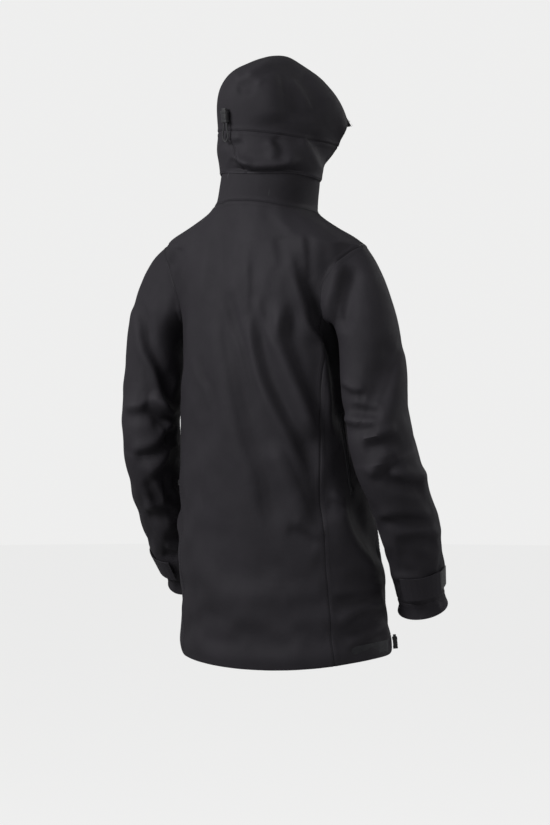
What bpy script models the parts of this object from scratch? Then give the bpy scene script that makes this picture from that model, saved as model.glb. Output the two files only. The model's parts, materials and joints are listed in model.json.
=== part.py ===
"""Hooded hardshell jacket of parka length, zipped up with its hood raised, in the shape it takes when worn.

Metres, +Z up. The origin is the hang loop at the nape, +X is the wearer's left and -Y is the front.
Cloth panels are lofted grids with a Solidify modifier; the hard trim is built from primitives.
"""

import math
from collections import namedtuple

import bmesh
import bpy
from mathutils import Matrix, Vector

# ---------------------------------------------------------------- driving sizes

CLOTH = 0.0012                 # thickness of the shell cloth
SEAM_GAP = 0.0004              # how far each panel edge stands back from its seam line
LAYER_GAP = 0.0006             # clearance between two layers of cloth
FACING_GAP = 0.0022            # the same where the cloth bends sharply, round the face
TOUCH_GAP = 0.0003             # clearance between hard pieces that touch

BACK_LENGTH = 0.806            # nape to hem at the centre back
FRONT_HEM_DROP = 0.745         # nape level to hem at the centre front
SIDE_HEM_DROP = 0.787          # nape level to hem at the sides
HEM_HALF_WIDTH = 0.195
HEM_BACK_DEPTH = 0.150
WAIST_HALF_WIDTH = 0.170
CHEST_HALF_WIDTH = 0.155
SHOULDER_HALF_WIDTH = 0.192
SHOULDER_DROP = 0.070          # nape level to the shoulder tip
UNDERARM_DROP = 0.215          # nape level to the bottom of the armhole
NECK_HALF_WIDTH = 0.085
NECK_FRONT_DROP = 0.060

ZIP_TOP = (0.004, -0.168, 0.035)     # top end of the straight front zip line
ZIP_HEM_Y = -0.250                 # its lower end, at the front hem
ZIP_HEM_X = -0.014                 # the hem hangs a little to the wearer's right

COLLAR_HEIGHT = 0.055
COLLAR_HALF_WIDTH = 0.089
COLLAR_BACK_Y = -0.006
COLLAR_SHIFT = -0.013         # the turned head pulls the collar's top to the wearer's right
COLLAR_CORNER_TURN = 157.0     # where the hood's front corners meet the collar

HOOD_YAW = math.radians(-23.0)     # the raised hood looks towards the wearer's right
HOOD_AXIS = (-0.005, -0.105)
HOOD_HALF_WIDTH = 0.092
HOOD_TEMPLE_HALF_WIDTH = 0.080
VISOR_LENGTH = 0.036

ARMHOLE_HALF_TURN = 32.0
ARMHOLE_SAMPLES = 20           # points round the armhole and the sleeve
JUNCTION_SAMPLES = 3           # armhole points from its lowest point to a side seam

CUFF_RADIUS = 0.042
CUFF_LENGTH = 0.028

TAPE_WIDTH = 0.0105            # one side of the front zip's tape
TEETH_WIDTH = 0.0028           # one side of its teeth
TEETH_THICKNESS = 0.0022
ZIP_OPENING = 0.0035           # from the zip line to each front edge
SLIDER_LENGTH = 0.014
SLIDER_WIDTH = 0.0095
SLIDER_THICKNESS = 0.0035
PULL_LENGTH = 0.034
PULL_WIDTH = 0.006
PULL_THICKNESS = 0.0022

POCKET_ZIP_LENGTH = 0.170
SMALL_ZIP_WIDTH = 0.0080
SMALL_ZIP_THICKNESS = 0.0016
SMALL_SLIDER_LENGTH = 0.010
SMALL_SLIDER_WIDTH = 0.0070
SMALL_SLIDER_THICKNESS = 0.0028
SMALL_PULL_LENGTH = 0.028
SMALL_PULL_WIDTH = 0.005
SMALL_PULL_THICKNESS = 0.0018

SLIDER_ROUNDING = 0.0008       # widths of the bevels on the hard trim
SMALL_ROUNDING = 0.0006
ZIP_ROUNDING = 0.0004
PULL_ROUNDING = 0.3            # as a share of the pull's thickness

CUFF_TAB_LENGTH = 0.062
CUFF_TAB_WIDTH = 0.024
CUFF_TAB_THICKNESS = 0.0016

LOCK_LENGTH = 0.020            # cord lock body
LOCK_WIDTH = 0.013
LOCK_THICKNESS = 0.0085
BUTTON_LENGTH = 0.0075
BUTTON_WIDTH = 0.0080
BUTTON_THICKNESS = 0.0052
BUTTON_TRAVEL = 0.0030
CORD_DIAMETER = 0.0026

LOWER_ROWS = 14
SHOULDER_ROWS = 4
BACK_COLUMNS = 12
FRONT_COLUMNS = 7

LEFT = 1.0
RIGHT = -1.0
SIDES = (("left", LEFT), ("right", RIGHT))

# ---------------------------------------------------------------- collections and materials

FINISHES = {
    "shell_cloth": ((0.030, 0.030, 0.033), 0.60, 0.0),
    "lining": ((0.045, 0.045, 0.048), 0.80, 0.0),
    "knit": ((0.050, 0.050, 0.054), 0.90, 0.0),
    "zip_tape": ((0.020, 0.020, 0.022), 0.75, 0.0),
    "zip_teeth": ((0.035, 0.035, 0.038), 0.35, 0.0),
    "zip_metal": ((0.110, 0.110, 0.115), 0.38, 0.9),
    "trim_plastic": ((0.032, 0.032, 0.034), 0.42, 0.0),
    "button_plastic": ((0.060, 0.060, 0.063), 0.40, 0.0),
    "cord": ((0.045, 0.045, 0.048), 0.85, 0.0),
    "label": ((0.300, 0.300, 0.300), 0.80, 0.0),
}


def clear_scene():
    for item in list(bpy.data.objects):
        bpy.data.objects.remove(item, do_unlink=True)


def make_collection(name):
    collection = bpy.data.collections.new(name)
    bpy.context.scene.collection.children.link(collection)
    return collection


def finish(name):
    """The material of one finish, made the first time that it is asked for."""
    material = bpy.data.materials.get(name)
    if material is None:
        colour, roughness, metallic = FINISHES[name]
        material = bpy.data.materials.new(name)
        material.use_nodes = True
        shader = material.node_tree.nodes["Principled BSDF"]
        shader.inputs["Base Color"].default_value = (*colour, 1.0)
        shader.inputs["Roughness"].default_value = roughness
        shader.inputs["Metallic"].default_value = metallic
    return material


def add_piece(name, mesh, finish_name):
    """A named piece in the jacket's collection, with its own finish."""
    piece = bpy.data.objects.new(name, mesh)
    mesh.materials.clear()
    mesh.materials.append(finish(finish_name))
    bpy.data.collections["hardshell_jacket"].objects.link(piece)
    return piece


# ---------------------------------------------------------------- small mathematics

def mix(a, b, share):
    return a + (b - a) * share


def smooth_step(low, high, value):
    share = min(1.0, max(0.0, (value - low) / (high - low)))
    return share * share * (3.0 - 2.0 * share)


def spline(keys, at):
    """A smooth curve through keys, a list of (place, numbers), read at one place."""
    last = len(keys) - 2
    index = 0
    while index < last and at > keys[index + 1][0]:
        index += 1
    before = keys[max(index - 1, 0)]
    start = keys[index]
    end = keys[index + 1]
    after = keys[min(index + 2, len(keys) - 1)]
    span = end[0] - start[0]
    share = (at - start[0]) / span
    square = share * share
    cube = square * share
    result = []
    for p0, p1, p2, p3 in zip(before[1], start[1], end[1], after[1]):
        slope_in = (p2 - p0) / (end[0] - before[0]) * span
        slope_out = (p3 - p1) / (after[0] - start[0]) * span
        result.append((2 * cube - 3 * square + 1) * p1 + (cube - 2 * square + share) * slope_in
                      + (3 * square - 2 * cube) * p2 + (cube - square) * slope_out)
    return result


def front_line(height):
    """The straight line of the front zip at one height."""
    top = Vector(ZIP_TOP)
    hem = Vector((ZIP_HEM_X, ZIP_HEM_Y, -FRONT_HEM_DROP))
    share = (top.z - height) / (top.z - hem.z)
    return top.lerp(hem, share)


# ---------------------------------------------------------------- the trunk's surface

# level, half width, back depth, centre Y, height at the back, side and front
TRUNK_KEYS = [
    (0.00, (HEM_HALF_WIDTH, HEM_BACK_DEPTH, -0.140, -BACK_LENGTH, -SIDE_HEM_DROP, -FRONT_HEM_DROP)),
    (0.20, (0.188, 0.150, -0.128, -0.635, -0.630, -0.615)),
    (0.42, (WAIST_HALF_WIDTH, 0.140, -0.105, -0.425, -0.425, -0.425)),
    (0.60, (0.158, 0.135, -0.096, -0.290, -0.295, -0.300)),
    (0.72, (CHEST_HALF_WIDTH, 0.130, -0.093, -0.200, -UNDERARM_DROP, -0.225)),
    (0.82, (0.170, 0.118, -0.088, -0.122, -0.140, -0.165)),
    (0.90, (SHOULDER_HALF_WIDTH, 0.092, -0.085, -0.058, -SHOULDER_DROP, -0.115)),
    (0.95, (0.137, 0.085, -0.086, -0.030, -0.045, -0.088)),
    (1.00, (NECK_HALF_WIDTH, 0.086, -0.090, 0.0, -0.017, -NECK_FRONT_DROP)),
]
FULLNESS = 0.10                # how far the ring section is squarer than an ellipse
ARMHOLE_MIDDLE = 0.81          # level of the armhole's middle
ARMHOLE_HALF_RISE = 0.09       # in levels, from its middle to the shoulder tip
SEAM_TURN_HEM = (47.0, 120.0)  # back and front side seams at the hem, in degrees from the centre back


def trunk_point(turn, level):
    """A point of the trunk, turn degrees round from the centre back towards the wearer's left."""
    half_width, back_depth, centre_y, back_z, side_z, front_z = spline(TRUNK_KEYS, level)
    angle = math.radians(turn)
    across = math.sin(angle)
    along = math.cos(angle)
    front = front_line(front_z)
    depth = back_depth if along >= 0.0 else centre_y - front.y
    end_z = back_z if along >= 0.0 else front_z
    return Vector((front.x + half_width * across * (1.0 + FULLNESS * along * along),
                   centre_y + depth * along * (1.0 + FULLNESS * across * across),
                   mix(side_z, end_z, along * along)))


def armhole_place(sample):
    """Turn and level of one armhole sample, counted from its lowest point towards the back."""
    angle = math.tau * sample / ARMHOLE_SAMPLES
    turn = 90.0 - ARMHOLE_HALF_TURN * math.sin(angle)
    level = ARMHOLE_MIDDLE - ARMHOLE_HALF_RISE * math.cos(angle)
    return turn, level


def side_seam_turn(level, is_back):
    """The side seams drift from their hem place to the armhole's junction samples."""
    sample = JUNCTION_SAMPLES if is_back else -JUNCTION_SAMPLES
    junction_turn, junction_level = armhole_place(sample)
    share = smooth_step(0.25, 1.0, level / junction_level)
    return mix(SEAM_TURN_HEM[0 if is_back else 1], junction_turn, share)


def edge_rows(is_back):
    """Rows of (level, turn) along a back or front panel's outer edge, from hem to neck."""
    sign = 1 if is_back else -1
    junction_level = armhole_place(sign * JUNCTION_SAMPLES)[1]
    rows = []
    for row in range(LOWER_ROWS):
        level = junction_level * row / LOWER_ROWS
        rows.append((level, side_seam_turn(level, is_back)))
    for sample in range(JUNCTION_SAMPLES, ARMHOLE_SAMPLES // 2 + 1):
        turn, level = armhole_place(sign * sample)
        rows.append((level, turn))
    top = armhole_place(ARMHOLE_SAMPLES // 2)[1]
    for row in range(1, SHOULDER_ROWS + 1):
        rows.append((mix(top, 1.0, row / SHOULDER_ROWS), 90.0))
    return rows


# ---------------------------------------------------------------- cloth panels

TRUNK_CENTRE = Vector((0.0, -0.09, -0.30))


def pull_in(rows, wrap):
    """The same grid with its open edges drawn back by the seam gap."""
    rows = [[point.copy() for point in row] for row in rows]
    for edge, inner in ((rows[0], rows[1]), (rows[-1], rows[-2])):
        for point, neighbour in zip(edge, inner):
            point += (neighbour - point).normalized() * SEAM_GAP
    if not wrap:
        for row in rows:
            row[0] += (row[1] - row[0]).normalized() * SEAM_GAP
            row[-1] += (row[-2] - row[-1]).normalized() * SEAM_GAP
    return rows


def turn_faces_out(build, centres):
    """Flip the whole grid where it faces its own middle line instead of away from it."""
    build.normal_update()
    outward = 0.0
    for face in build.faces:
        middle = face.calc_center_median()
        nearest = min(centres, key=lambda centre: (middle - centre).length)
        outward += face.normal.dot(middle - nearest) * face.calc_area()
    if outward < 0.0:
        bmesh.ops.reverse_faces(build, faces=build.faces)
        build.normal_update()


def cloth(name, rows, finish_name="shell_cloth", centres=(TRUNK_CENTRE,), wrap=False, inset=0.0,
          thickness=CLOTH):
    """A panel of cloth from rows of points: the grid is its outer face, moved in by inset."""
    mesh = bpy.data.meshes.new(name)
    build = bmesh.new()
    grid = [[build.verts.new(point) for point in row] for row in pull_in(rows, wrap)]
    for low, high in zip(grid, grid[1:]):
        count = len(low)
        for column in range(count if wrap else count - 1):
            after = (column + 1) % count
            build.faces.new((low[column], low[after], high[after], high[column]))
    turn_faces_out(build, centres)
    for vertex in build.verts:
        vertex.co -= vertex.normal * inset
    build.to_mesh(mesh)
    build.free()
    mesh.shade_smooth()
    piece = add_piece(name, mesh, finish_name)
    shell = piece.modifiers.new("Cloth thickness", "SOLIDIFY")
    shell.thickness = thickness
    shell.offset = -1.0
    return piece


def back_panel():
    rows = []
    for level, turn in edge_rows(True):
        rows.append([trunk_point(mix(-turn, turn, column / BACK_COLUMNS), level)
                     for column in range(BACK_COLUMNS + 1)])
    cloth("back_panel", rows)


def front_turns(turn):
    return [mix(turn, 180.0, column / FRONT_COLUMNS) for column in range(FRONT_COLUMNS + 1)]


def front_point(turn, level, side, first_turn):
    """Near the centre front the panel eases off the zip line to leave room for the teeth."""
    point = trunk_point(side * turn, level)
    share = (turn - first_turn) / (180.0 - first_turn)
    point.x += side * ZIP_OPENING * share ** 3
    return point


def front_panel(name, side):
    rows = []
    for level, turn in edge_rows(False):
        rows.append([front_point(at, level, side, turn) for at in front_turns(turn)])
    cloth("front_panel_" + name, rows)


def side_panel_point(share, rise, side):
    """share runs from the back seam to the front seam, rise from the hem to the armhole."""
    sample = mix(JUNCTION_SAMPLES, -JUNCTION_SAMPLES, share)
    top_turn, top_level = armhole_place(sample)
    level = top_level * rise
    turn = mix(side_seam_turn(level, True), side_seam_turn(level, False), share)
    straight_top = mix(armhole_place(JUNCTION_SAMPLES)[0], armhole_place(-JUNCTION_SAMPLES)[0], share)
    turn += (top_turn - straight_top) * rise * rise
    return trunk_point(side * turn, level)


def side_panel(name, side):
    columns = 2 * JUNCTION_SAMPLES
    rows = []
    for row in range(LOWER_ROWS + 1):
        rows.append([side_panel_point(column / columns, row / LOWER_ROWS, side)
                     for column in range(columns + 1)])
    cloth("side_panel_" + name, rows)


def ring_turns():
    """Turns all round the neck, from the right of the zip over the back to the left of it."""
    front = front_turns(90.0)
    back = [mix(-90.0, 90.0, column / BACK_COLUMNS) for column in range(1, BACK_COLUMNS)]
    return [-turn for turn in reversed(front)] + back + front


def collar_top_point(turn):
    front = Vector(ZIP_TOP)
    centre_y = 0.5 * (COLLAR_BACK_Y + front.y)
    depth = 0.5 * (COLLAR_BACK_Y - front.y)
    angle = math.radians(turn)
    shift = COLLAR_SHIFT * (1.0 - (abs(turn) / 180.0) ** 6)
    return Vector((front.x + shift + COLLAR_HALF_WIDTH * math.sin(angle),
                   centre_y + depth * math.cos(angle),
                   mix(front.z, COLLAR_HEIGHT, 0.5 + 0.5 * math.cos(angle))))


def collar_point(turn, rise):
    point = trunk_point(turn, 1.0).lerp(collar_top_point(turn), rise)
    ease = max(0.0, (abs(turn) - 90.0) / 90.0) ** 3
    point.x += math.copysign(ZIP_OPENING * ease, turn)
    return point


def collar_rows(turns, first=0.0, last=1.0, count=4):
    return [[collar_point(turn, mix(first, last, row / count)) for turn in turns]
            for row in range(count + 1)]


def collar():
    cloth("collar_shell", collar_rows(ring_turns()))
    inner = [turn for turn in ring_turns() if abs(turn) < 160.0]
    cloth("collar_lining", collar_rows(inner, 0.04, 0.96, 3), "knit", inset=CLOTH + LAYER_GAP)


def hem_turns(level):
    """The panels' own turns at one level near the hem, without the last strips beside the zip."""
    back = side_seam_turn(level, True)
    front = side_seam_turn(level, False)
    columns = 2 * JUNCTION_SAMPLES
    half = [mix(0.0, back, 2.0 * column / BACK_COLUMNS) for column in range(BACK_COLUMNS // 2)]
    half += [mix(back, front, column / columns) for column in range(columns)]
    half += front_turns(front)[:-2]
    return [-turn for turn in reversed(half[1:])] + half


def hem_facing():
    rows = []
    for level in (0.002, 0.018, 0.036):
        rows.append([trunk_point(turn, level) for turn in hem_turns(level)])
    cloth("hem_facing", rows, "lining", inset=CLOTH + LAYER_GAP)


# ---------------------------------------------------------------- sleeves

# share, centre X (wearer's left arm; mirrored on the right), Y, Z, outer, inner and front-to-back radius
ARM_KEYS = {
    "left": [
        (0.00, (0.2150, -0.073, -0.250, 0.057, 0.048, 0.062)),
        (0.28, (0.2160, -0.063, -0.350, 0.058, 0.048, 0.061)),
        (0.50, (0.2180, -0.066, -0.425, 0.057, 0.047, 0.060)),
        (0.76, (0.2330, -0.138, -0.560, 0.056, 0.047, 0.055)),
        (1.00, (0.2400, -0.212, -0.662, 0.045, CUFF_RADIUS, 0.045)),
    ],
    "right": [
        (0.00, (0.2110, -0.073, -0.250, 0.057, 0.047, 0.062)),
        (0.28, (0.2230, -0.064, -0.345, 0.059, 0.050, 0.061)),
        (0.50, (0.2420, -0.066, -0.430, 0.060, 0.052, 0.061)),
        (0.76, (0.2580, -0.128, -0.565, 0.058, 0.050, 0.056)),
        (1.00, (0.2530, -0.180, -0.678, 0.046, 0.044, 0.046)),
    ],
}
ELBOW = 0.50
CAP_ROWS = 6
UPPER_ARM_ROWS = 5
LOWER_ARM_ROWS = 7
# direction and pull of the sleeve head at the shoulder tip
CAP_LEAVES_TOP = {"left": (0.150, 0.0, -0.020), "right": (0.092, 0.0, -0.050)}
CAP_LEAVES_BOTTOM = (0.030, 0.0, -0.030)
CAP_ARRIVES = (0.050, 0.150)               # pull along the arm where the head ends, inner and outer


def arm_frame(name, side, share):
    """Centre, direction, outward and backward unit vectors and the three radii of one arm ring."""
    x, y, z, outer, inner, depth = spline(ARM_KEYS[name], share)
    step = 0.01
    ahead = spline(ARM_KEYS[name], min(1.0, share + step))
    behind = spline(ARM_KEYS[name], max(0.0, share - step))
    direction = Vector((side * (ahead[0] - behind[0]), ahead[1] - behind[1], ahead[2] - behind[2]))
    direction.normalize()
    out = Vector((side, 0.0, 0.0))
    out = (out - direction * out.dot(direction)).normalized()
    back = direction.cross(out) * side
    if back.y < 0.0:
        back = -back
    return Vector((side * x, y, z)), direction, out, back, (outer, inner, depth)


def arm_point(name, side, share, sample):
    """Rings past share 1 run straight on, by the share beyond it times the cuff's length."""
    centre, direction, out, back, radii = arm_frame(name, side, min(share, 1.0))
    outer, inner, depth = radii
    angle = math.tau * sample / ARMHOLE_SAMPLES
    across = -math.cos(angle)
    radius = outer if across > 0.0 else inner
    beyond = max(0.0, share - 1.0) * CUFF_LENGTH
    return centre + direction * beyond + out * across * radius + back * math.sin(angle) * depth


def cap_point(name, side, share, sample):
    """The sleeve head: from the armhole to the arm's first ring."""
    turn, level = armhole_place(sample)
    start = trunk_point(side * turn, level)
    end = arm_point(name, side, 0.0, sample)
    direction = arm_frame(name, side, 0.0)[1]
    height = 0.5 - 0.5 * math.cos(math.tau * sample / ARMHOLE_SAMPLES)
    leave = Vector(CAP_LEAVES_BOTTOM).lerp(Vector(CAP_LEAVES_TOP[name]), height)
    leave.x *= side
    arrive = direction * mix(CAP_ARRIVES[0], CAP_ARRIVES[1], height)
    square = share * share
    cube = square * share
    return (start * (2 * cube - 3 * square + 1) + leave * (cube - 2 * square + share)
            + end * (3 * square - 2 * cube) + arrive * (cube - square))


def arm_centres(name, side, first, last):
    shares = [mix(first, last, step / 12) for step in range(13)]
    return [arm_frame(name, side, min(share, 1.0))[0] for share in shares]


def sleeve_rings(name, side, shares):
    return [[arm_point(name, side, share, sample) for sample in range(ARMHOLE_SAMPLES)]
            for share in shares]


def upper_sleeve(name, side):
    rows = [[cap_point(name, side, row / CAP_ROWS, sample) for sample in range(ARMHOLE_SAMPLES)]
            for row in range(CAP_ROWS)]
    rows += sleeve_rings(name, side, [ELBOW * row / UPPER_ARM_ROWS for row in range(UPPER_ARM_ROWS + 1)])
    top = Vector((side * 0.19, -0.085, -0.13))
    cloth("upper_sleeve_" + name, rows, centres=[top] + arm_centres(name, side, 0.0, ELBOW), wrap=True)


def lower_sleeve(name, side):
    shares = [mix(ELBOW, 1.0, row / LOWER_ARM_ROWS) for row in range(LOWER_ARM_ROWS + 1)]
    centres = arm_centres(name, side, ELBOW, 1.0)
    cloth("lower_sleeve_" + name, sleeve_rings(name, side, shares), centres=centres, wrap=True)
    cloth("cuff_band_" + name, sleeve_rings(name, side, [1.0, 1.5, 2.0]), centres=centres[-1:],
          wrap=True, thickness=2.0 * CLOTH)


TAB_SHARE = (0.885, 0.975)     # along the arm
TAB_SAMPLES = (4.6, 9.2)       # round the arm: sewn end, free end


def cuff_strip(name, piece_name, side, samples, shares, inset, thickness, finish_name):
    rows = []
    for share in shares:
        rows.append([arm_point(name, side, share, mix(samples[0], samples[1], column / 8))
                     for column in range(9)])
    centres = arm_centres(name, side, shares[0], shares[-1])
    cloth(piece_name, rows, finish_name, centres=centres, inset=inset, thickness=thickness)


PATCH_THICKNESS = 0.0008
PATCH_MARGIN = 0.008           # from the patch's long edges to the tab's


def cuff_fastening(name, side):
    low, high = TAB_SHARE
    cuff_strip(name, "cuff_patch_" + name, side, (TAB_SAMPLES[0] + 1.2, TAB_SAMPLES[1] + 1.6),
               (low + PATCH_MARGIN, 0.5 * (low + high), high - PATCH_MARGIN),
               -(PATCH_THICKNESS + LAYER_GAP), PATCH_THICKNESS, "knit")
    lift = PATCH_THICKNESS + CUFF_TAB_THICKNESS + 2.0 * LAYER_GAP
    cuff_strip(name, "cuff_tab_" + name, side, TAB_SAMPLES, (low, 0.5 * (low + high), high), -lift,
               CUFF_TAB_THICKNESS, "trim_plastic")


# ---------------------------------------------------------------- hood

TEMPLE = (-0.184, 0.096)       # Y and Z where the crown's ribs meet at each side of the face
RIM_STEP = (-0.006, 0.011)     # how far the ribs' ends creep along the face rim
# share from the seam line round the back to the forehead rim: Y and Z on the middle plane, half width
CROWN_KEYS = [
    (0.00, (0.0000, 0.1180, HOOD_HALF_WIDTH)),
    (0.15, (0.0040, 0.1560, HOOD_HALF_WIDTH)),
    (0.30, (0.0010, 0.1920, HOOD_HALF_WIDTH)),
    (0.42, (-0.0160, 0.2210, HOOD_HALF_WIDTH)),
    (0.55, (-0.0520, 0.2380, HOOD_HALF_WIDTH)),
    (0.68, (-0.1060, 0.2460, 0.090)),
    (0.80, (-0.1640, 0.2320, 0.088)),
    (0.90, (-0.1990, 0.2030, 0.086)),
    (1.00, (-0.2250, 0.1600, 0.083)),
]
HOOD_COLUMNS = 18
CROWN_ROWS = 11
LOWER_HOOD_ROWS = 4
TWIST_HEIGHTS = (0.045, 0.125)
HOOD_CENTRE = Vector((-0.005, -0.105, 0.13))


def twist(point):
    """The hood turns with the head: nothing at the collar, fully at the seam line and above."""
    axis = Vector((*HOOD_AXIS, 0.0))
    yaw = HOOD_YAW * smooth_step(TWIST_HEIGHTS[0], TWIST_HEIGHTS[1], point.z)
    return Matrix.Rotation(yaw, 3, "Z") @ (point - axis) + axis


def crown_straight(share, across):
    """A rib of the crown before the twist; across runs from -1 at the right temple to 1 at the left."""
    y, z, half_width = spline(CROWN_KEYS, share)
    limit = math.pi - math.asin(HOOD_TEMPLE_HALF_WIDTH / half_width)
    angle = limit * across
    rise = (math.cos(angle) - math.cos(limit)) / (1.0 - math.cos(limit))
    start_y = TEMPLE[0] + RIM_STEP[0] * share
    start_z = TEMPLE[1] + RIM_STEP[1] * share
    return Vector((HOOD_AXIS[0] + half_width * math.sin(angle), mix(start_y, y, rise),
                   mix(start_z, z, rise)))


def crown_point(share, across):
    return twist(crown_straight(share, across))


HOOD_SLACK = 0.007             # how far the lower hood bags out over the collar


def lower_hood_point(rise, across):
    """Between the collar's top edge and the seam line that runs round the hood."""
    bottom = collar_top_point(COLLAR_CORNER_TURN * across)
    top = crown_straight(0.0, across)
    point = bottom.lerp(top, rise)
    outward = Vector((point.x - HOOD_AXIS[0], point.y - HOOD_AXIS[1], 0.0)).normalized()
    point += outward * HOOD_SLACK * math.sin(math.pi * rise) ** 1.5
    return twist(point)


def across_steps(first=-1.0, last=1.0, count=HOOD_COLUMNS):
    return [mix(first, last, column / count) for column in range(count + 1)]


def lower_hood(name, first, last):
    rows = [[lower_hood_point(row / LOWER_HOOD_ROWS, across)
             for across in across_steps(first, last, HOOD_COLUMNS // 2)]
            for row in range(LOWER_HOOD_ROWS + 1)]
    cloth(name, rows, centres=(HOOD_CENTRE,))


def crown():
    rows = [[crown_point(row / CROWN_ROWS, across) for across in across_steps()]
            for row in range(CROWN_ROWS + 1)]
    cloth("hood_crown", rows, centres=(HOOD_CENTRE,))


VISOR_HALF_SPAN = 0.60
VISOR_DIP = (-0.60, -0.80)
VISOR_THICKNESS = 0.0022


def visor_point(reach, across):
    """A stiffened peak on the forehead rim, longest in the middle."""
    rim = crown_straight(1.0, across * VISOR_HALF_SPAN)
    length = VISOR_LENGTH * math.cos(0.5 * math.pi * across * 0.93) ** 0.8
    return twist(rim + Vector((0.0, VISOR_DIP[0], VISOR_DIP[1])) * (0.0008 + length * reach))


def visor():
    rows = [[visor_point(row / 4, across) for across in across_steps(-1.0, 1.0, 12)]
            for row in range(5)]
    above = Vector((0.0, -0.20, 0.10))
    cloth("hood_visor", rows, centres=(above,), thickness=VISOR_THICKNESS)


BINDING_WIDTH = 0.09           # as a share of the distance along the cloth


def on_facets(surface, row, rows, column, columns):
    """A point on the flat facets of a panel whose grid is surface(row share, column share)."""
    low_row = min(int(row * rows), rows - 1)
    low_column = min(int(column * columns), columns - 1)
    up = row * rows - low_row
    along = column * columns - low_column
    ends = [surface((low_row + step) / rows, low_column / columns).lerp(
        surface((low_row + step) / rows, (low_column + 1) / columns), along) for step in (0, 1)]
    return ends[0].lerp(ends[1], up)


def lower_hood_facet(rise, share):
    return on_facets(lambda row, column: lower_hood_point(row, mix(-1.0, 1.0, column)),
                     rise, LOWER_HOOD_ROWS, share, HOOD_COLUMNS)


def crown_facet(rise, share):
    return on_facets(lambda row, column: crown_point(row, mix(-1.0, 1.0, column)),
                     rise, CROWN_ROWS, share, HOOD_COLUMNS)


def face_facings():
    """Narrow facings inside the face opening: one over the brow and one down each cheek."""
    edge = 0.003
    inside = 0.5 * BINDING_WIDTH
    inset = CLOTH + FACING_GAP
    shares = across_steps(0.12, 0.88, 14)
    brow = [[crown_facet(1.0 - edge, share) for share in shares],
            [crown_facet(1.0 - edge - 0.9 * BINDING_WIDTH, share) for share in shares]]
    cloth("brow_facing", brow, "lining", centres=(HOOD_CENTRE,), inset=inset)
    rises = (0.12, 0.25, 0.50, 0.75, 0.92)
    for name, first, second in (("right", edge, edge + inside), ("left", 1.0 - edge, 1.0 - edge - inside)):
        cheek = [[lower_hood_facet(rise, first) for rise in rises],
                 [lower_hood_facet(rise, second) for rise in rises]]
        cloth("cheek_facing_" + name, cheek, "lining", centres=(HOOD_CENTRE,), inset=inset)


# ---------------------------------------------------------------- blocks and frames

def frame_of(place, along, out):
    """A frame whose Y runs along, whose Z points out of the cloth and whose X lies across."""
    along = along.normalized()
    out = (out - along * out.dot(along)).normalized()
    across = along.cross(out)
    frame = Matrix.Identity(4)
    for column, vector in enumerate((across, along, out)):
        for row in range(3):
            frame[row][column] = vector[row]
    frame.translation = place
    return frame


def block(name, frame, size, finish_name, bevel=0.0, centre=(0.0, 0.0, 0.0)):
    """A box of size across, along and out; its origin is the frame's, its middle is at centre."""
    mesh = bpy.data.meshes.new(name)
    build = bmesh.new()
    scale = Matrix.Diagonal((*size, 1.0))
    bmesh.ops.create_cube(build, size=1.0, matrix=Matrix.Translation(centre) @ scale)
    build.to_mesh(mesh)
    build.free()
    piece = add_piece(name, mesh, finish_name)
    piece.matrix_world = frame
    if bevel > 0.0:
        rounding = piece.modifiers.new("Rounded edges", "BEVEL")
        rounding.width = bevel
        rounding.segments = 2
    return piece


def cut(piece, frame, size, centre):
    """Take a box out of a piece; the cutter stays, hidden, in its own collection."""
    mesh = bpy.data.meshes.new("cutter")
    build = bmesh.new()
    bmesh.ops.create_cube(build, size=1.0,
                          matrix=Matrix.Translation(centre) @ Matrix.Diagonal((*size, 1.0)))
    build.to_mesh(mesh)
    build.free()
    cutter = bpy.data.objects.new("cutter_" + piece.name, mesh)
    bpy.data.collections["cutters"].objects.link(cutter)
    cutter.matrix_world = frame
    cutter.hide_render = True
    cutter.display_type = "WIRE"
    hole = piece.modifiers.new("Opening", "BOOLEAN")
    hole.operation = "DIFFERENCE"
    hole.object = cutter


def surface_strip(start, end, surface, out):
    """Frame and length of a straight strip laid on a curved panel, clear of its highest point."""
    along = end - start
    frame = frame_of(0.5 * (start + end), -along, out)
    normal = frame.col[2].xyz
    crown_height = max((point - start).dot(normal) for point in surface)
    frame.translation += normal * (crown_height + LAYER_GAP)
    return frame, along.length


# ---------------------------------------------------------------- front zip

def zip_frame(place):
    """The front zip's frame: Y runs up the zip line and Z points forward, out of the jacket."""
    top = front_line(ZIP_TOP[2])
    hem = front_line(-FRONT_HEM_DROP)
    return frame_of(place, top - hem, Vector((0.0, -1.0, 0.0)))


def zip_length():
    return (front_line(ZIP_TOP[2]) - front_line(-FRONT_HEM_DROP)).length


TAPE_DEPTH = 0.0030            # the tape's outer face behind the zip line
TAPE_THICKNESS = 0.0008
BOX_LENGTH = 0.012
CHAIN_END_GAP = 0.004
FLAP_WIDTH = 0.046
FLAP_DEPTH = 0.0075


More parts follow.
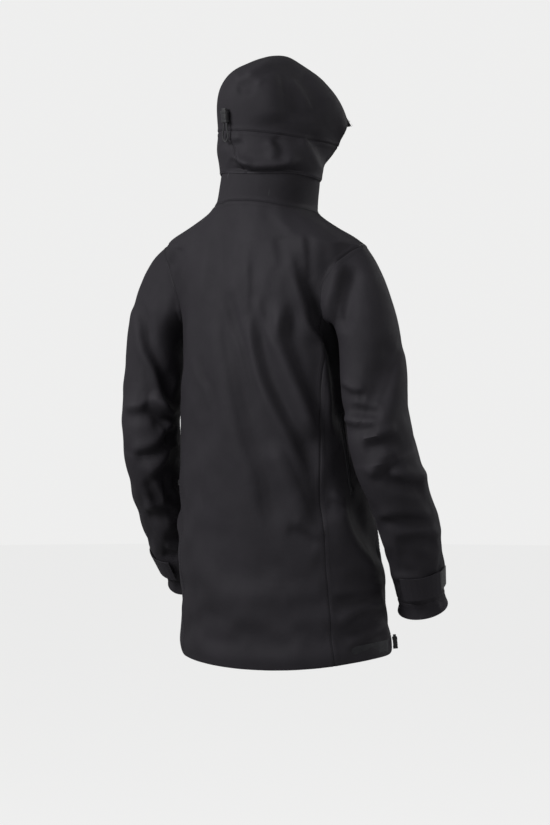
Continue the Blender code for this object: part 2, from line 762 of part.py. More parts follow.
def front_zip():
    middle = 0.5 * (front_line(ZIP_TOP[2]) + front_line(-FRONT_HEM_DROP))
    frame = zip_frame(middle)
    length = zip_length()
    chain_length = length - BOX_LENGTH - 2.0 * CHAIN_END_GAP
    chain_y = 0.5 * BOX_LENGTH
    for name, side in SIDES:
        teeth_x = side * (0.5 * TOUCH_GAP + 0.5 * TEETH_WIDTH)
        block("zip_teeth_" + name, frame, (TEETH_WIDTH, chain_length, TEETH_THICKNESS), "zip_teeth",
              centre=(teeth_x, chain_y, -0.5 * TEETH_THICKNESS))
        tape_x = side * (0.5 * TOUCH_GAP + 0.5 * TAPE_WIDTH)
        block("zip_tape_" + name, frame, (TAPE_WIDTH, length - 2.0 * CHAIN_END_GAP, TAPE_THICKNESS),
              "zip_tape", centre=(tape_x, 0.0, -TAPE_DEPTH - 0.5 * TAPE_THICKNESS))
    box_y = -0.5 * length + CHAIN_END_GAP + 0.5 * BOX_LENGTH - TOUCH_GAP
    block("zip_box", frame, (2.0 * TEETH_WIDTH, BOX_LENGTH, TEETH_THICKNESS), "zip_metal", 0.0004,
          centre=(0.0, box_y, -0.5 * TEETH_THICKNESS))
    block("storm_flap", frame, (FLAP_WIDTH, length - 0.016, CLOTH), "lining",
          centre=(0.0, 0.0, -FLAP_DEPTH - 0.5 * CLOTH))
    guard_length = 0.060
    block("chin_guard", frame, (0.030, guard_length, CLOTH), "knit",
          centre=(0.0, 0.5 * length - 0.5 * guard_length - 0.002, -TAPE_DEPTH - TAPE_THICKNESS - 0.0024))


def pull_tab(name, slider, slider_length, slider_thickness, size):
    """A tab that hangs down the slider's -Y from its hinge line, just above the slider's top edge."""
    length, thickness = size[1:]
    hinge = Vector((0.0, -0.5 * slider_length - TOUCH_GAP, slider_thickness + TOUCH_GAP))
    block(name, slider @ Matrix.Translation(hinge), size, "trim_plastic", PULL_ROUNDING * thickness,
          centre=(0.0, -0.5 * length, -0.5 * thickness))


SLIDER_START = 0.022           # slider's middle below the top of the zip line when it is closed


def front_slider():
    place = front_line(ZIP_TOP[2] - SLIDER_START)
    frame = zip_frame(place) @ Matrix.Translation((0.0, 0.0, TOUCH_GAP))
    block("main_slider", frame, (SLIDER_WIDTH, SLIDER_LENGTH, SLIDER_THICKNESS), "zip_metal",
          SLIDER_ROUNDING, centre=(0.0, 0.0, 0.5 * SLIDER_THICKNESS))
    pull_tab("main_pull", frame, SLIDER_LENGTH, SLIDER_THICKNESS,
             (PULL_WIDTH, PULL_LENGTH, PULL_THICKNESS))


# ---------------------------------------------------------------- pocket zips and vents

POCKET_TOP = (152.0, 0.43)     # turn and level of the zip's upper end
POCKET_BOTTOM_TURN = 141.0


def pocket_frame(side):
    """A hand pocket's zip slants outwards and down across the front panel."""
    start = trunk_point(side * POCKET_TOP[0], POCKET_TOP[1])
    level = POCKET_TOP[1]
    while (trunk_point(side * POCKET_BOTTOM_TURN, level) - start).length < POCKET_ZIP_LENGTH:
        level -= 0.001
    end = trunk_point(side * POCKET_BOTTOM_TURN, level)
    surface = []
    for step in range(21):
        share = step / 20
        for spread in (-2.0, 0.0, 2.0):
            surface.append(trunk_point(side * (mix(POCKET_TOP[0], POCKET_BOTTOM_TURN, share) + spread),
                                       mix(POCKET_TOP[1], level, share)))
    middle = 0.5 * (start + end)
    out = Vector((middle.x - TRUNK_CENTRE.x, middle.y - TRUNK_CENTRE.y, 0.0))
    hit = trunk_point(side * 0.5 * (POCKET_TOP[0] + POCKET_BOTTOM_TURN), 0.5 * (POCKET_TOP[1] + level))
    near = trunk_point(side * (0.5 * (POCKET_TOP[0] + POCKET_BOTTOM_TURN) + 2.0),
                       0.5 * (POCKET_TOP[1] + level))
    normal = (near - hit).cross(end - start)
    if normal.dot(out) < 0.0:
        normal = -normal
    return surface_strip(start, end, surface, normal), level


def small_slider(name, frame, length, at, with_pull):
    """A slider on a narrow zip, at a distance along it from its middle."""
    place = frame @ Matrix.Translation((0.0, at, SMALL_ZIP_THICKNESS + TOUCH_GAP))
    block(name + "_slider", place, (SMALL_SLIDER_WIDTH, SMALL_SLIDER_LENGTH, SMALL_SLIDER_THICKNESS),
          "zip_metal", SMALL_ROUNDING, centre=(0.0, 0.0, 0.5 * SMALL_SLIDER_THICKNESS))
    if with_pull:
        pull_tab(name + "_pull", place, SMALL_SLIDER_LENGTH, SMALL_SLIDER_THICKNESS,
                 (SMALL_PULL_WIDTH, SMALL_PULL_LENGTH, SMALL_PULL_THICKNESS))


def small_zip(name, frame, length):
    block(name + "_zip", frame, (SMALL_ZIP_WIDTH, length, SMALL_ZIP_THICKNESS), "zip_teeth", ZIP_ROUNDING,
          centre=(0.0, 0.0, 0.5 * SMALL_ZIP_THICKNESS))


POCKET_BAG_TURNS = (128.0, 156.0)
POCKET_BAG_DEPTH = 0.170
POCKET_BAG_THICKNESS = 0.0030


def pocket(name, side):
    (frame, length), low_level = pocket_frame(side)
    small_zip("pocket_" + name, frame, length)
    small_slider("pocket_" + name, frame, length, 0.5 * length - 0.010, True)
    rows = []
    for row in range(5):
        level = mix(low_level - 0.06, POCKET_TOP[1] + 0.01, row / 4)
        rows.append([trunk_point(side * mix(POCKET_BAG_TURNS[0], POCKET_BAG_TURNS[1], column / 4), level)
                     for column in range(5)])
    cloth("pocket_bag_" + name, rows, "lining", inset=CLOTH + 0.003, thickness=POCKET_BAG_THICKNESS)


VENT_TURN = 73.0
VENT_LEVELS = (0.500, 0.335)   # upper and lower end


def vent(name, side):
    start = trunk_point(side * VENT_TURN, VENT_LEVELS[0])
    end = trunk_point(side * VENT_TURN, VENT_LEVELS[1])
    surface = []
    for step in range(21):
        level = mix(VENT_LEVELS[0], VENT_LEVELS[1], step / 20)
        for spread in (-2.0, 0.0, 2.0):
            surface.append(trunk_point(side * (VENT_TURN + spread), level))
    near = trunk_point(side * (VENT_TURN + 2.0), 0.5 * (VENT_LEVELS[0] + VENT_LEVELS[1]))
    normal = (near - 0.5 * (start + end)).cross(end - start)
    if normal.x * side < 0.0:
        normal = -normal
    frame, length = surface_strip(start, end, surface, normal)
    small_zip("vent_" + name, frame, length)
    small_slider("vent_" + name, frame, length, -0.5 * length + 0.008, False)


# ---------------------------------------------------------------- cord locks

def cord_lock(name, frame, button_name):
    """A lock body with a socket in its upper end, and the button that slides into it."""
    body = block(name, frame, (LOCK_WIDTH, LOCK_LENGTH, LOCK_THICKNESS), "trim_plastic", 0.0012)
    in_socket = 0.0035
    depth = in_socket + BUTTON_TRAVEL + 2.0 * TOUCH_GAP
    room = 2.0 * TOUCH_GAP
    cut(body, frame, (BUTTON_WIDTH + room, 2.0 * depth, BUTTON_THICKNESS + room),
        (0.0, 0.5 * LOCK_LENGTH, 0.0))
    place = frame @ Matrix.Translation((0.0, 0.5 * LOCK_LENGTH - in_socket + 0.5 * BUTTON_LENGTH, 0.0))
    block(button_name, place, (BUTTON_WIDTH, BUTTON_LENGTH, BUTTON_THICKNESS), "button_plastic",
          SMALL_ROUNDING)


HOOD_LOCK_SHARE = 0.10
HOOD_LOCK_ACROSS = -0.045


def hood_lock_frame():
    step = 0.02
    place = crown_point(HOOD_LOCK_SHARE, HOOD_LOCK_ACROSS)
    along = crown_point(HOOD_LOCK_SHARE + step, HOOD_LOCK_ACROSS) - place
    across = crown_point(HOOD_LOCK_SHARE, HOOD_LOCK_ACROSS + step) - place
    out = across.cross(along)
    if out.dot(place - HOOD_CENTRE) < 0.0:
        out = -out
    frame = frame_of(place, along, out)
    frame.translation += frame.col[2].xyz * (0.5 * LOCK_THICKNESS + 0.0012)
    return frame


CORD_POINTS_APART = 2.4        # in cord diameters


def smooth_route(points, spacing):
    """Points every spacing along a smooth curve through the route's own points."""
    dense = []
    last = len(points) - 1
    keys = [(float(index), tuple(point)) for index, point in enumerate(points)]
    for step in range(last * 40 + 1):
        dense.append(Vector(spline(keys, step / 40)))
    route = [dense[0]]
    travelled = 0.0
    for before, after in zip(dense, dense[1:]):
        travelled += (after - before).length
        if travelled >= spacing:
            route.append(after)
            travelled = 0.0
    if (route[-1] - dense[-1]).length < 0.5 * spacing:
        route.pop()
    route.append(dense[-1])
    return route


def cord(name, points):
    """A round cord along a route, with flat closed ends."""
    curve = bpy.data.curves.new(name, "CURVE")
    curve.dimensions = "3D"
    route = smooth_route(points, CORD_DIAMETER * CORD_POINTS_APART)
    line = curve.splines.new("POLY")
    line.points.add(len(route) - 1)
    for place, point in zip(line.points, route):
        place.co = (*point, 1.0)
    curve.bevel_depth = 0.5 * CORD_DIAMETER
    curve.bevel_resolution = 2
    curve.use_fill_caps = True
    piece = bpy.data.objects.new(name, curve)
    curve.materials.append(finish("cord"))
    bpy.data.collections["hardshell_jacket"].objects.link(piece)


# the adjuster's loop in the lock's own frame: across, along and out
HOOD_CORD_ROUTE = [
    (0.0035, 0.0000, 0.0000), (0.0037, -0.0060, 0.0002), (0.0046, -0.0120, 0.0008), (0.0062, -0.0180, 0.0018),
    (0.0068, -0.0240, 0.0026), (0.0050, -0.0295, 0.0030), (0.0012, -0.0322, 0.0031),
    (-0.0032, -0.0300, 0.0030), (-0.0058, -0.0250, 0.0026), (-0.0062, -0.0190, 0.0018),
    (-0.0050, -0.0130, 0.0008), (-0.0038, -0.0065, 0.0002), (-0.0035, 0.0000, 0.0000),
]


def hood_adjuster():
    frame = hood_lock_frame()
    cord_lock("hood_cord_lock", frame, "hood_lock_button")
    below = -0.5 * LOCK_LENGTH - TOUCH_GAP
    cord("hood_cord_loop", [frame @ Vector((x, y + below, z)) for x, y, z in HOOD_CORD_ROUTE])


HEM_LOCK_TURN = 112.0
HEM_LOCK_LEVEL = 0.016


def hem_lock(name, side):
    place = trunk_point(side * HEM_LOCK_TURN, HEM_LOCK_LEVEL)
    along = trunk_point(side * HEM_LOCK_TURN, HEM_LOCK_LEVEL + 0.02) - place
    across = trunk_point(side * (HEM_LOCK_TURN + 2.0), HEM_LOCK_LEVEL) - place
    out = across.cross(along)
    if out.x * side < 0.0:
        out = -out
    frame = frame_of(place, along, out)
    frame.translation += frame.col[2].xyz * (0.5 * LOCK_THICKNESS + 0.0010)
    cord_lock("hem_cord_lock_" + name, frame, "hem_lock_button_" + name)


# ---------------------------------------------------------------- nape

LOOP_HALF_WIDTH = 0.028
LOOP_TAPE = 0.006
LABEL_SIZE = (0.034, 0.020, 0.0006)


def nape():
    """The hang loop at the origin and a blank size label below it, inside the back of the neck."""
    back_y = trunk_point(0.0, 1.0).y - CLOTH - 0.0070
    rows = []
    for edge in (0.5, -0.5):
        row = []
        for step in range(13):
            x = mix(-LOOP_HALF_WIDTH, LOOP_HALF_WIDTH, step / 12)
            sag = 1.0 - (x / LOOP_HALF_WIDTH) ** 2
            row.append(Vector((x, back_y - 0.003 * sag, -0.010 * sag + edge * LOOP_TAPE)))
        rows.append(row)
    cloth("hang_loop", rows, "zip_tape", centres=(Vector((0.0, -0.09, 0.0)),), thickness=0.001)
    label_place = trunk_point(0.0, 0.965)
    rise = trunk_point(0.0, 0.985) - trunk_point(0.0, 0.945)
    frame = frame_of(label_place, rise, Vector((0.0, 1.0, 0.0)))
    block("size_label", frame, LABEL_SIZE, "label", centre=(0.0, 0.0, -CLOTH - 0.0035))


# ---------------------------------------------------------------- the whole jacket

def build_jacket():
    clear_scene()
    make_collection("hardshell_jacket")
    make_collection("cutters")
    back_panel()
    collar()
    hem_facing()
    for name, side in SIDES:
        front_panel(name, side)
        side_panel(name, side)
        upper_sleeve(name, side)
        lower_sleeve(name, side)
        cuff_fastening(name, side)
        pocket(name, side)
        vent(name, side)
        hem_lock(name, side)
    lower_hood("hood_lower_right", -1.0, 0.0)
    lower_hood("hood_lower_left", 0.0, 1.0)
    crown()
    visor()
    face_facings()
    front_zip()
    front_slider()
    hood_adjuster()
    nape()


if __name__ == "__main__":
    build_jacket()
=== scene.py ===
"""Looks of a hooded hardshell jacket, worn and zipped up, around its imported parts.

An add-on run as a script: every group of pieces and the stage has its own operator, and the
sizes and colours a user would change are properties of the scene.
"""

import json
import math

import bmesh
import bpy
import numpy as np
from mathutils import Matrix, Vector, noise
from mathutils.kdtree import KDTree

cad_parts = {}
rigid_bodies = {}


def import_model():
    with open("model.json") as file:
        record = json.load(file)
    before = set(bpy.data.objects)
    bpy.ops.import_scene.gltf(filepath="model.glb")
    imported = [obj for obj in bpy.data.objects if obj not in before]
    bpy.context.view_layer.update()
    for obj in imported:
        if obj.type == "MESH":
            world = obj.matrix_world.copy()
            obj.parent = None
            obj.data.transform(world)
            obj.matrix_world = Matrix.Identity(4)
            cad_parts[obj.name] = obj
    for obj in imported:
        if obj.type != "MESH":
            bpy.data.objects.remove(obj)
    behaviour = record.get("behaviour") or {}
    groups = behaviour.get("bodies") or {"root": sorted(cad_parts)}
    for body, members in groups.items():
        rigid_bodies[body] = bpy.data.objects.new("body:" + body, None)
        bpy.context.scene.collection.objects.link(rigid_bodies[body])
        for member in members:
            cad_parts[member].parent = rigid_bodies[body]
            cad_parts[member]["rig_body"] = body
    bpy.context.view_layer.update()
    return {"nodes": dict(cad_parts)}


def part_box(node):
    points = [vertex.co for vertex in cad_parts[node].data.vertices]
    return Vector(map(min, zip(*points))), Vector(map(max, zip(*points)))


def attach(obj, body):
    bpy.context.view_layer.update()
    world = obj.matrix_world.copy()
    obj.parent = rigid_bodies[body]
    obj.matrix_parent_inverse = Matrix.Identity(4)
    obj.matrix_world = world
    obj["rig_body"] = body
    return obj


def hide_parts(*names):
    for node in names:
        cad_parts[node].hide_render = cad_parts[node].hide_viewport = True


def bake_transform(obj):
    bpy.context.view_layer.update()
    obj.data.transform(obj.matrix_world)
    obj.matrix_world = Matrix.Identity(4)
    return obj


bl_info = {
    "name": "Hardshell jacket looks",
    "version": (1, 0, 0),
    "blender": (4, 5, 0),
    "location": "View3D > Sidebar > Jacket",
    "description": "Cloth, trims, materials and stage of a hooded hardshell jacket",
    "category": "Object",
}

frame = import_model()

# ---------------------------------------------------------------- sizes, in metres

MM = 1000.0                    # millimetres in a metre
WELD = 0.0026                  # panel edges closer than this share a seam
SKIN_TURN = math.radians(50.0)  # a sharper turn than this is a panel's cut edge
HOOD_CENTRE = Vector((-0.005, -0.105, 0.14))
TRUNK_AXIS = (0.0, -0.115)
TRUNK_RADIUS = 0.165
HOOD_RADIUS = 0.095
SLEEVE_RADIUS = 0.055

SIDES = ("left", "right")
TRUNK = ("back_panel", "front_panel_left", "front_panel_right", "side_panel_left",
         "side_panel_right", "collar_shell")
SLEEVES = ("upper_sleeve_left", "upper_sleeve_right", "lower_sleeve_left", "lower_sleeve_right",
           "cuff_band_left", "cuff_band_right")
HOOD = ("hood_crown", "hood_lower_left", "hood_lower_right", "hood_visor")


# ---------------------------------------------------------------- small helpers

def mesh_from(grid, title):
    """A mesh made from a working grid, which is freed."""
    mesh = bpy.data.meshes.new(title)
    grid.to_mesh(mesh)
    grid.free()
    return mesh


def linked(title, data):
    """A new object that is in the scene."""
    thing = bpy.data.objects.new(title, data)
    bpy.context.scene.collection.objects.link(thing)
    return thing


def finder_of(points):
    """A finder of the nearest of some points."""
    finder = KDTree(len(points))
    for index, point in enumerate(points):
        finder.insert(point, index)
    finder.balance()
    return finder


# ---------------------------------------------------------------- skins of the cloth panels

def outward(name, point):
    """The direction away from the middle of what the named panel goes round."""
    if name.startswith("hood"):
        return point - HOOD_CENTRE
    if name in TRUNK:
        return Vector((point.x - TRUNK_AXIS[0], point.y - TRUNK_AXIS[1], 0.0))
    low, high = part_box(name)
    middle = (low + high) / 2.0
    return point - middle


def outer_skin(name):
    """The outside skin of one CAD panel, as (points, quads)."""
    grid = bmesh.new()
    grid.from_mesh(frame["nodes"][name].data)
    bmesh.ops.remove_doubles(grid, verts=grid.verts, dist=0.00001)
    grid.faces.ensure_lookup_table()
    grid.normal_update()
    seen = set()
    best = None
    for first in grid.faces:
        if first.index in seen:
            continue
        stack = [first]
        seen.add(first.index)
        island = []
        while stack:
            face = stack.pop()
            island.append(face)
            for edge in face.edges:
                if len(edge.link_faces) != 2:
                    continue
                if edge.calc_face_angle(math.pi) > SKIN_TURN:
                    continue
                for other in edge.link_faces:
                    if other.index not in seen:
                        seen.add(other.index)
                        stack.append(other)
        facing = sum(
            f.calc_area() * f.normal.dot(outward(name, f.calc_center_median()).normalized())
            for f in island)
        if best is None or facing > best[0]:
            best = (facing, island)
    keep = set(best[1])
    bmesh.ops.delete(grid, geom=[f for f in grid.faces if f not in keep], context="FACES")
    bmesh.ops.join_triangles(grid, faces=grid.faces, angle_face_threshold=1.3,
                             angle_shape_threshold=3.2)
    grid.verts.index_update()
    points = [v.co.copy() for v in grid.verts]
    faces = [[v.index for v in f.verts] for f in grid.faces]
    grid.free()
    return points, faces


HEM_OVER_COLLAR = (0.0035, 0.0120)   # how far out and down the hood's hem goes over the collar
COLLAR_REACH = 0.016


def over_collar(points):
    """The hood's lower edge, brought down outside the collar's top edge."""
    finder = finder_of(outer_skin("collar_shell")[0])
    out, down = HEM_OVER_COLLAR
    for point in points:
        distance = finder.find(point)[2]
        if distance < COLLAR_REACH:
            away = point - HOOD_CENTRE
            away.z = 0.0
            away.normalize()
            ease = 1.0 - distance / COLLAR_REACH
            point += away * out + Vector((0.0, 0.0, -down * ease))
    return points


def sewn_mesh(title, names):
    """The skins of several panels joined where their edges meet, with each face's panel number."""
    grid = bmesh.new()
    panel_number = grid.faces.layers.int.new("panel")
    owner = {}
    for number, name in enumerate(names):
        points, faces = outer_skin(name)
        if name.startswith("hood_lower"):
            points = over_collar(points)
        made = [grid.verts.new(point) for point in points]
        for vertex in made:
            owner[vertex] = number
        for corners in faces:
            face = grid.faces.new([made[corner] for corner in corners])
            face[panel_number] = number
    grid.verts.ensure_lookup_table()
    grid.verts.index_update()
    rim = [vertex for vertex in grid.verts if vertex.is_boundary]
    finder = finder_of([vertex.co for vertex in rim])
    group = list(range(len(rim)))

    def root(index):
        while group[index] != index:
            index = group[index]
        return index

    for index, vertex in enumerate(rim):
        for _, other, distance in finder.find_range(vertex.co, WELD):
            if owner[rim[other]] != owner[vertex]:
                group[root(other)] = root(index)
    gathered = {}
    for index in range(len(rim)):
        gathered.setdefault(root(index), []).append(rim[index])
    joined = {}
    for members in gathered.values():
        if len(members) < 2:
            continue
        middle = sum((vertex.co for vertex in members), Vector()) / len(members)
        members[0].co = middle
        for other in members[1:]:
            other.co = middle
            joined[other] = members[0]
    bmesh.ops.weld_verts(grid, targetmap=joined)
    close_pinholes(grid)
    return mesh_from(grid, title)


def close_pinholes(grid):
    """Fills the openings of three or four edges that welding leaves."""
    rim = [edge for edge in grid.edges if edge.is_boundary]
    bmesh.ops.holes_fill(grid, edges=rim, sides=4)


def modified(mesh, kind, settings):
    """The mesh with one modifier applied."""
    holder = linked("working piece", mesh)
    step = holder.modifiers.new(kind.title(), kind)
    for key, value in settings.items():
        setattr(step, key, value)
    graph = bpy.context.evaluated_depsgraph_get()
    result = bpy.data.meshes.new_from_object(holder.evaluated_get(graph))
    bpy.data.objects.remove(holder)
    return result


def rounded(mesh, levels):
    return modified(mesh, "SUBSURF", {"levels": levels, "render_levels": levels})


def read_points(mesh):
    flat = np.zeros(len(mesh.vertices) * 3)
    mesh.vertices.foreach_get("co", flat)
    return flat.reshape(-1, 3)


def write_points(mesh, points):
    mesh.vertices.foreach_set("co", np.ascontiguousarray(points, dtype=np.float32).ravel())
    mesh.update()


def read_normals(mesh):
    flat = np.zeros(len(mesh.vertices) * 3, dtype=np.float32)
    mesh.vertex_normals.foreach_get("vector", flat)
    return flat.reshape(-1, 3).astype(float)


def read_edges(mesh):
    flat = np.zeros(len(mesh.edges) * 2, dtype=np.int64)
    mesh.edges.foreach_get("vertices", flat)
    return flat.reshape(-1, 2)


def corner_edges(mesh):
    """The edge of every face corner."""
    numbers = np.zeros(len(mesh.loops), dtype=np.int64)
    mesh.loops.foreach_get("edge_index", numbers)
    return numbers


def open_edge_points(mesh):
    """The numbers of the points on the mesh's open edges."""
    uses = np.zeros(len(mesh.edges), dtype=int)
    np.add.at(uses, corner_edges(mesh), 1)
    return np.unique(read_edges(mesh)[uses == 1].ravel())


def relaxed(points, edges, rounds, share=0.5):
    """Points moved towards the mean of their neighbours."""
    count = np.zeros(len(points))
    np.add.at(count, edges.ravel(), 1.0)
    for _ in range(rounds):
        total = np.zeros_like(points)
        np.add.at(total, edges[:, 0], points[edges[:, 1]])
        np.add.at(total, edges[:, 1], points[edges[:, 0]])
        points = points + share * (total / count[:, None] - points)
    return points


# ---------------------------------------------------------------- the hang of the cloth

SIM_FRAMES = 22
CLOTH_MASS = 0.18              # kilograms at each point
SIM_GROWTH = 0.022             # how much larger the cloth is cut than the form under it
SIM_REACH = 0.006              # furthest that a point may settle from the pattern
FORM_INSET = 0.012             # from the cloth to the wearer's padded form
CONTACT_GAP = 0.002            # the cloth stays this far off the form
STRETCH_STIFFNESS = 25.0
SHEAR_STIFFNESS = 8.0
BENDING_STIFFNESS = 0.35
AIR_DAMPING = 3.0
FORM_FRICTION = 12.0


def hung(mesh, still):
    """The sewn cloth settled under its own weight over a smaller form; still points stay."""
    points = read_points(mesh)
    normals = read_normals(mesh)
    edges = read_edges(mesh)
    form_mesh = mesh.copy()
    smooth_normals = relaxed(normals, edges, 3)
    write_points(form_mesh, points - smooth_normals * FORM_INSET)
    form = linked("padded form", form_mesh)
    form.modifiers.new("Collision", "COLLISION")
    form.collision.thickness_outer = CONTACT_GAP
    form.collision.cloth_friction = FORM_FRICTION
    cloth = linked("settling cloth", mesh)
    held = cloth.vertex_groups.new(name="held")
    held.add([int(index) for index in open_edge_points(mesh)] + still, 1.0, "REPLACE")
    settle = cloth.modifiers.new("Cloth", "CLOTH")
    rules = settle.settings
    rules.quality = 6
    rules.mass = CLOTH_MASS
    rules.tension_stiffness = STRETCH_STIFFNESS
    rules.compression_stiffness = STRETCH_STIFFNESS
    rules.shear_stiffness = SHEAR_STIFFNESS
    rules.bending_stiffness = BENDING_STIFFNESS
    rules.air_damping = AIR_DAMPING
    rules.shrink_min = -SIM_GROWTH
    rules.shrink_max = -SIM_GROWTH
    rules.vertex_group_mass = "held"
    settle.collision_settings.distance_min = CONTACT_GAP
    settle.collision_settings.use_self_collision = False
    settle.point_cache.frame_end = SIM_FRAMES
    for number in range(1, SIM_FRAMES + 1):
        bpy.context.scene.frame_set(number)
    graph = bpy.context.evaluated_depsgraph_get()
    settled = bpy.data.meshes.new_from_object(cloth.evaluated_get(graph))
    moved = read_points(settled) - points
    distance = np.linalg.norm(moved, axis=1, keepdims=True)
    reach = SIM_REACH * np.tanh(distance / SIM_REACH)
    write_points(settled, points + moved / np.maximum(distance, 1e-9) * reach)
    bpy.data.objects.remove(cloth)
    bpy.data.objects.remove(form)
    bpy.context.scene.frame_set(1)
    return settled


# ---------------------------------------------------------------- pressed-in folds

# Folds run over the side of the jacket that faces this turn and rise, and their points are
# (across, height) in the plane square to it, through the nape.
QUARTER_TURN = math.radians(210.0)
QUARTER_RISE = math.radians(3.0)
TOWARDS = Vector((math.sin(QUARTER_TURN) * math.cos(QUARTER_RISE),
                  -math.cos(QUARTER_TURN) * math.cos(QUARTER_RISE), math.sin(QUARTER_RISE)))
ACROSS = Vector((math.cos(QUARTER_TURN), math.sin(QUARTER_TURN), 0.0))
UPWARDS = TOWARDS.cross(ACROSS)

# (region, half width, depth, points), in millimetres; the ridge lies on the line's upper left
FOLDS = (
    ("trunk", 17, 4.2, ((-32, -150), (-29, -205), (-24, -257), (-15, -316), (10, -419),
        (29, -470), (43, -547), (67, -590))),
    ("trunk", 7, 1.6, ((-32, -150), (-15, -214), (7, -274), (32, -365))),
    ("trunk", 11, 5.2, ((24, -165), (27, -239), (36, -291), (53, -333), (75, -376), (101, -427),
        (128, -492))),
    ("trunk", 7, 1.8, ((29, -160), (46, -214), (67, -262))),
    ("trunk", 13, 6.8, ((84, -165), (74, -231), (87, -274), (104, -316), (121, -359),
        (141, -420))),
    ("trunk", 10, 6, ((89, -85), (101, -137), (113, -180), (121, -214), (144, -248),
        (154, -308), (159, -376), (161, -420))),
    ("trunk", 6, 1.4, ((109, -50), (113, -111), (116, -150))),
    ("trunk", 10, 0.9, ((-32, -26), (-26, -77), (-26, -140))),
    ("trunk", 7, 0.9, ((-7, -60), (-5, -120), (-7, -175))),
    ("trunk", 6, 1, ((15, -100), (17, -154), (15, -205))),
    ("trunk", 10, 1, ((-50, -60), (-62, -175))),
    ("trunk", 8, 1.1, ((58, -60), (67, -125))),
    ("trunk", 6, 1.2, ((-79, -260), (-70, -299), (-53, -325), (-48, -365))),
    ("trunk", 12, 1.4, ((-118, -165), (-115, -274), (-115, -380))),
    ("trunk", 20, 5.2, ((64, -400), (92, -462), (109, -504), (132, -562))),
    ("trunk", 10, 3, ((80, -552), (109, -568), (138, -585))),
    ("trunk", 8, 3, ((150, -512), (180, -523))),
    ("trunk", 18, 6, ((178, -505), (195, -564), (229, -616), (246, -645))),
    ("trunk", 10, 3, ((150, -684), (203, -675), (255, -667))),
    ("trunk", 10, 3.4, ((166, -740), (203, -710), (255, -701))),
    ("trunk", 9, 3, ((178, -772), (221, -752), (258, -735))),
    ("trunk", 6, 1.6, ((-161, -115), (-168, -158))),
    ("trunk", 7, 1.8, ((-139, -90), (-156, -137), (-164, -175))),
    ("trunk", 7, 1.4, ((-108, -72), (-130, -110))),
    ("right sleeve", 14, 6.5, ((183, -105), (166, -171), (156, -230))),
    ("right sleeve", 7, 3, ((165, -312), (186, -328), (212, -331))),
    ("right sleeve", 8, 3, ((180, -349), (212, -356), (242, -360))),
    ("right sleeve", 8, 4.2, ((165, -380), (200, -386), (233, -384))),
    ("right sleeve", 18, -5, ((275, -232), (246, -325), (205, -400))),
    ("right sleeve", 9, 5, ((200, -418), (234, -409), (268, -398))),
    ("right sleeve", 10, 4.5, ((220, -480), (241, -455), (262, -430))),
    ("right sleeve", 10, 5.5, ((240, -468), (280, -479), (320, -482))),
    ("right sleeve", 9, 3.6, ((225, -548), (280, -539), (328, -548))),
    ("right sleeve", 10, 3.4, ((258, -580), (306, -573), (345, -582))),
    ("right sleeve", 6, 2, ((250, -651), (323, -650), (356, -644))),
    ("left sleeve", 10, 4, ((-214, -364), (-156, -361), (-122, -382))),
    ("left sleeve", 10, 5.5, ((-168, -338), (-142, -359), (-118, -378))),
    ("left sleeve", 7, 3, ((-142, -406), (-115, -388))),
    ("left sleeve", 10, 4.5, ((-197, -440), (-147, -424), (-127, -392))),
    ("left sleeve", 10, 4, ((-165, -482), (-139, -462), (-115, -422))),
    ("left sleeve", 9, 3.6, ((-163, -475), (-142, -522), (-128, -500))),
    ("left sleeve", 9, 3.6, ((-178, -540), (-147, -539), (-114, -532))),
    ("left sleeve", 8, 2.6, ((-142, -606), (-112, -617))),
    ("left sleeve", 9, 3.5, ((-198, -158), (-178, -197), (-168, -248), (-147, -291),
        (-133, -342), (-121, -396))),
    ("hood", 8, 2.2, ((10, 202), (36, 219), (62, 233))),
    ("hood", 12, 7.5, ((-30, 64), (15, 48), (75, 50), (112, 70))),
    ("hood", 6, 3.4, ((-19, 76), (19, 53))),
    ("hood", 26, 4.8, ((62, 246), (72, 190), (80, 128))),
    ("hood", 9, 2.6, ((-12, 196), (14, 200), (30, 186))),
    ("hood", 10, 3.4, ((108, 116), (128, 85), (145, 52))),
    ("hood", 8, 2.8, ((50, 108), (62, 85), (58, 62))),
    ("hood", 12, 3, ((90, 222), (112, 190), (130, 150))),
    ("hood", 7, 2.2, ((-30, 110), (-14, 100), (6, 104))),
)
NOT_IN_SIGHT = -0.10           # faces turned further away than this take no fold


def region_of(name):
    if name.startswith("hood"):
        return "hood"
    for side in SIDES:
        if name.endswith(side) and ("sleeve" in name or "cuff" in name):
            return side + " sleeve"
    return "trunk"


FOLD_STEPS = 12


def smooth_path(points, steps):
    """A smooth line through a list of places."""
    keys = [Vector(point) for point in points]
    keys = [keys[0] * 2 - keys[1]] + keys + [keys[-1] * 2 - keys[-2]]
    places = []
    for index in range(1, len(keys) - 2):
        p0, p1, p2, p3 = keys[index - 1:index + 3]
        for step in range(steps):
            t = step / steps
            places.append(0.5 * ((2 * p1) + (p2 - p0) * t + (2 * p0 - 5 * p1 + 4 * p2 - p3) * t * t
                                 + (3 * p1 - p0 - 3 * p2 + p3) * t ** 3))
    places.append(keys[-2])
    return places


def bent_line(points):
    """A smooth line through a fold's points, as an array of places."""
    path = smooth_path([(x, z, 0.0) for x, z in points], FOLD_STEPS)
    return np.array([(place.x, place.y) for place in path])


UPPER_LEFT = (-0.6, 0.8)
FOLD_GAIN = 1.45
CREASE_SHARE = 0.30            # depth of the sharp crease in a fold, as a share of the fold's
CREASE_WIDTH = 0.0035
FOLD_FADE = 0.22               # share of a fold's length over which each end dies away
FOLD_REACH = 4.0               # a fold acts this many half widths from its line
SIGHT_FADE = 0.25


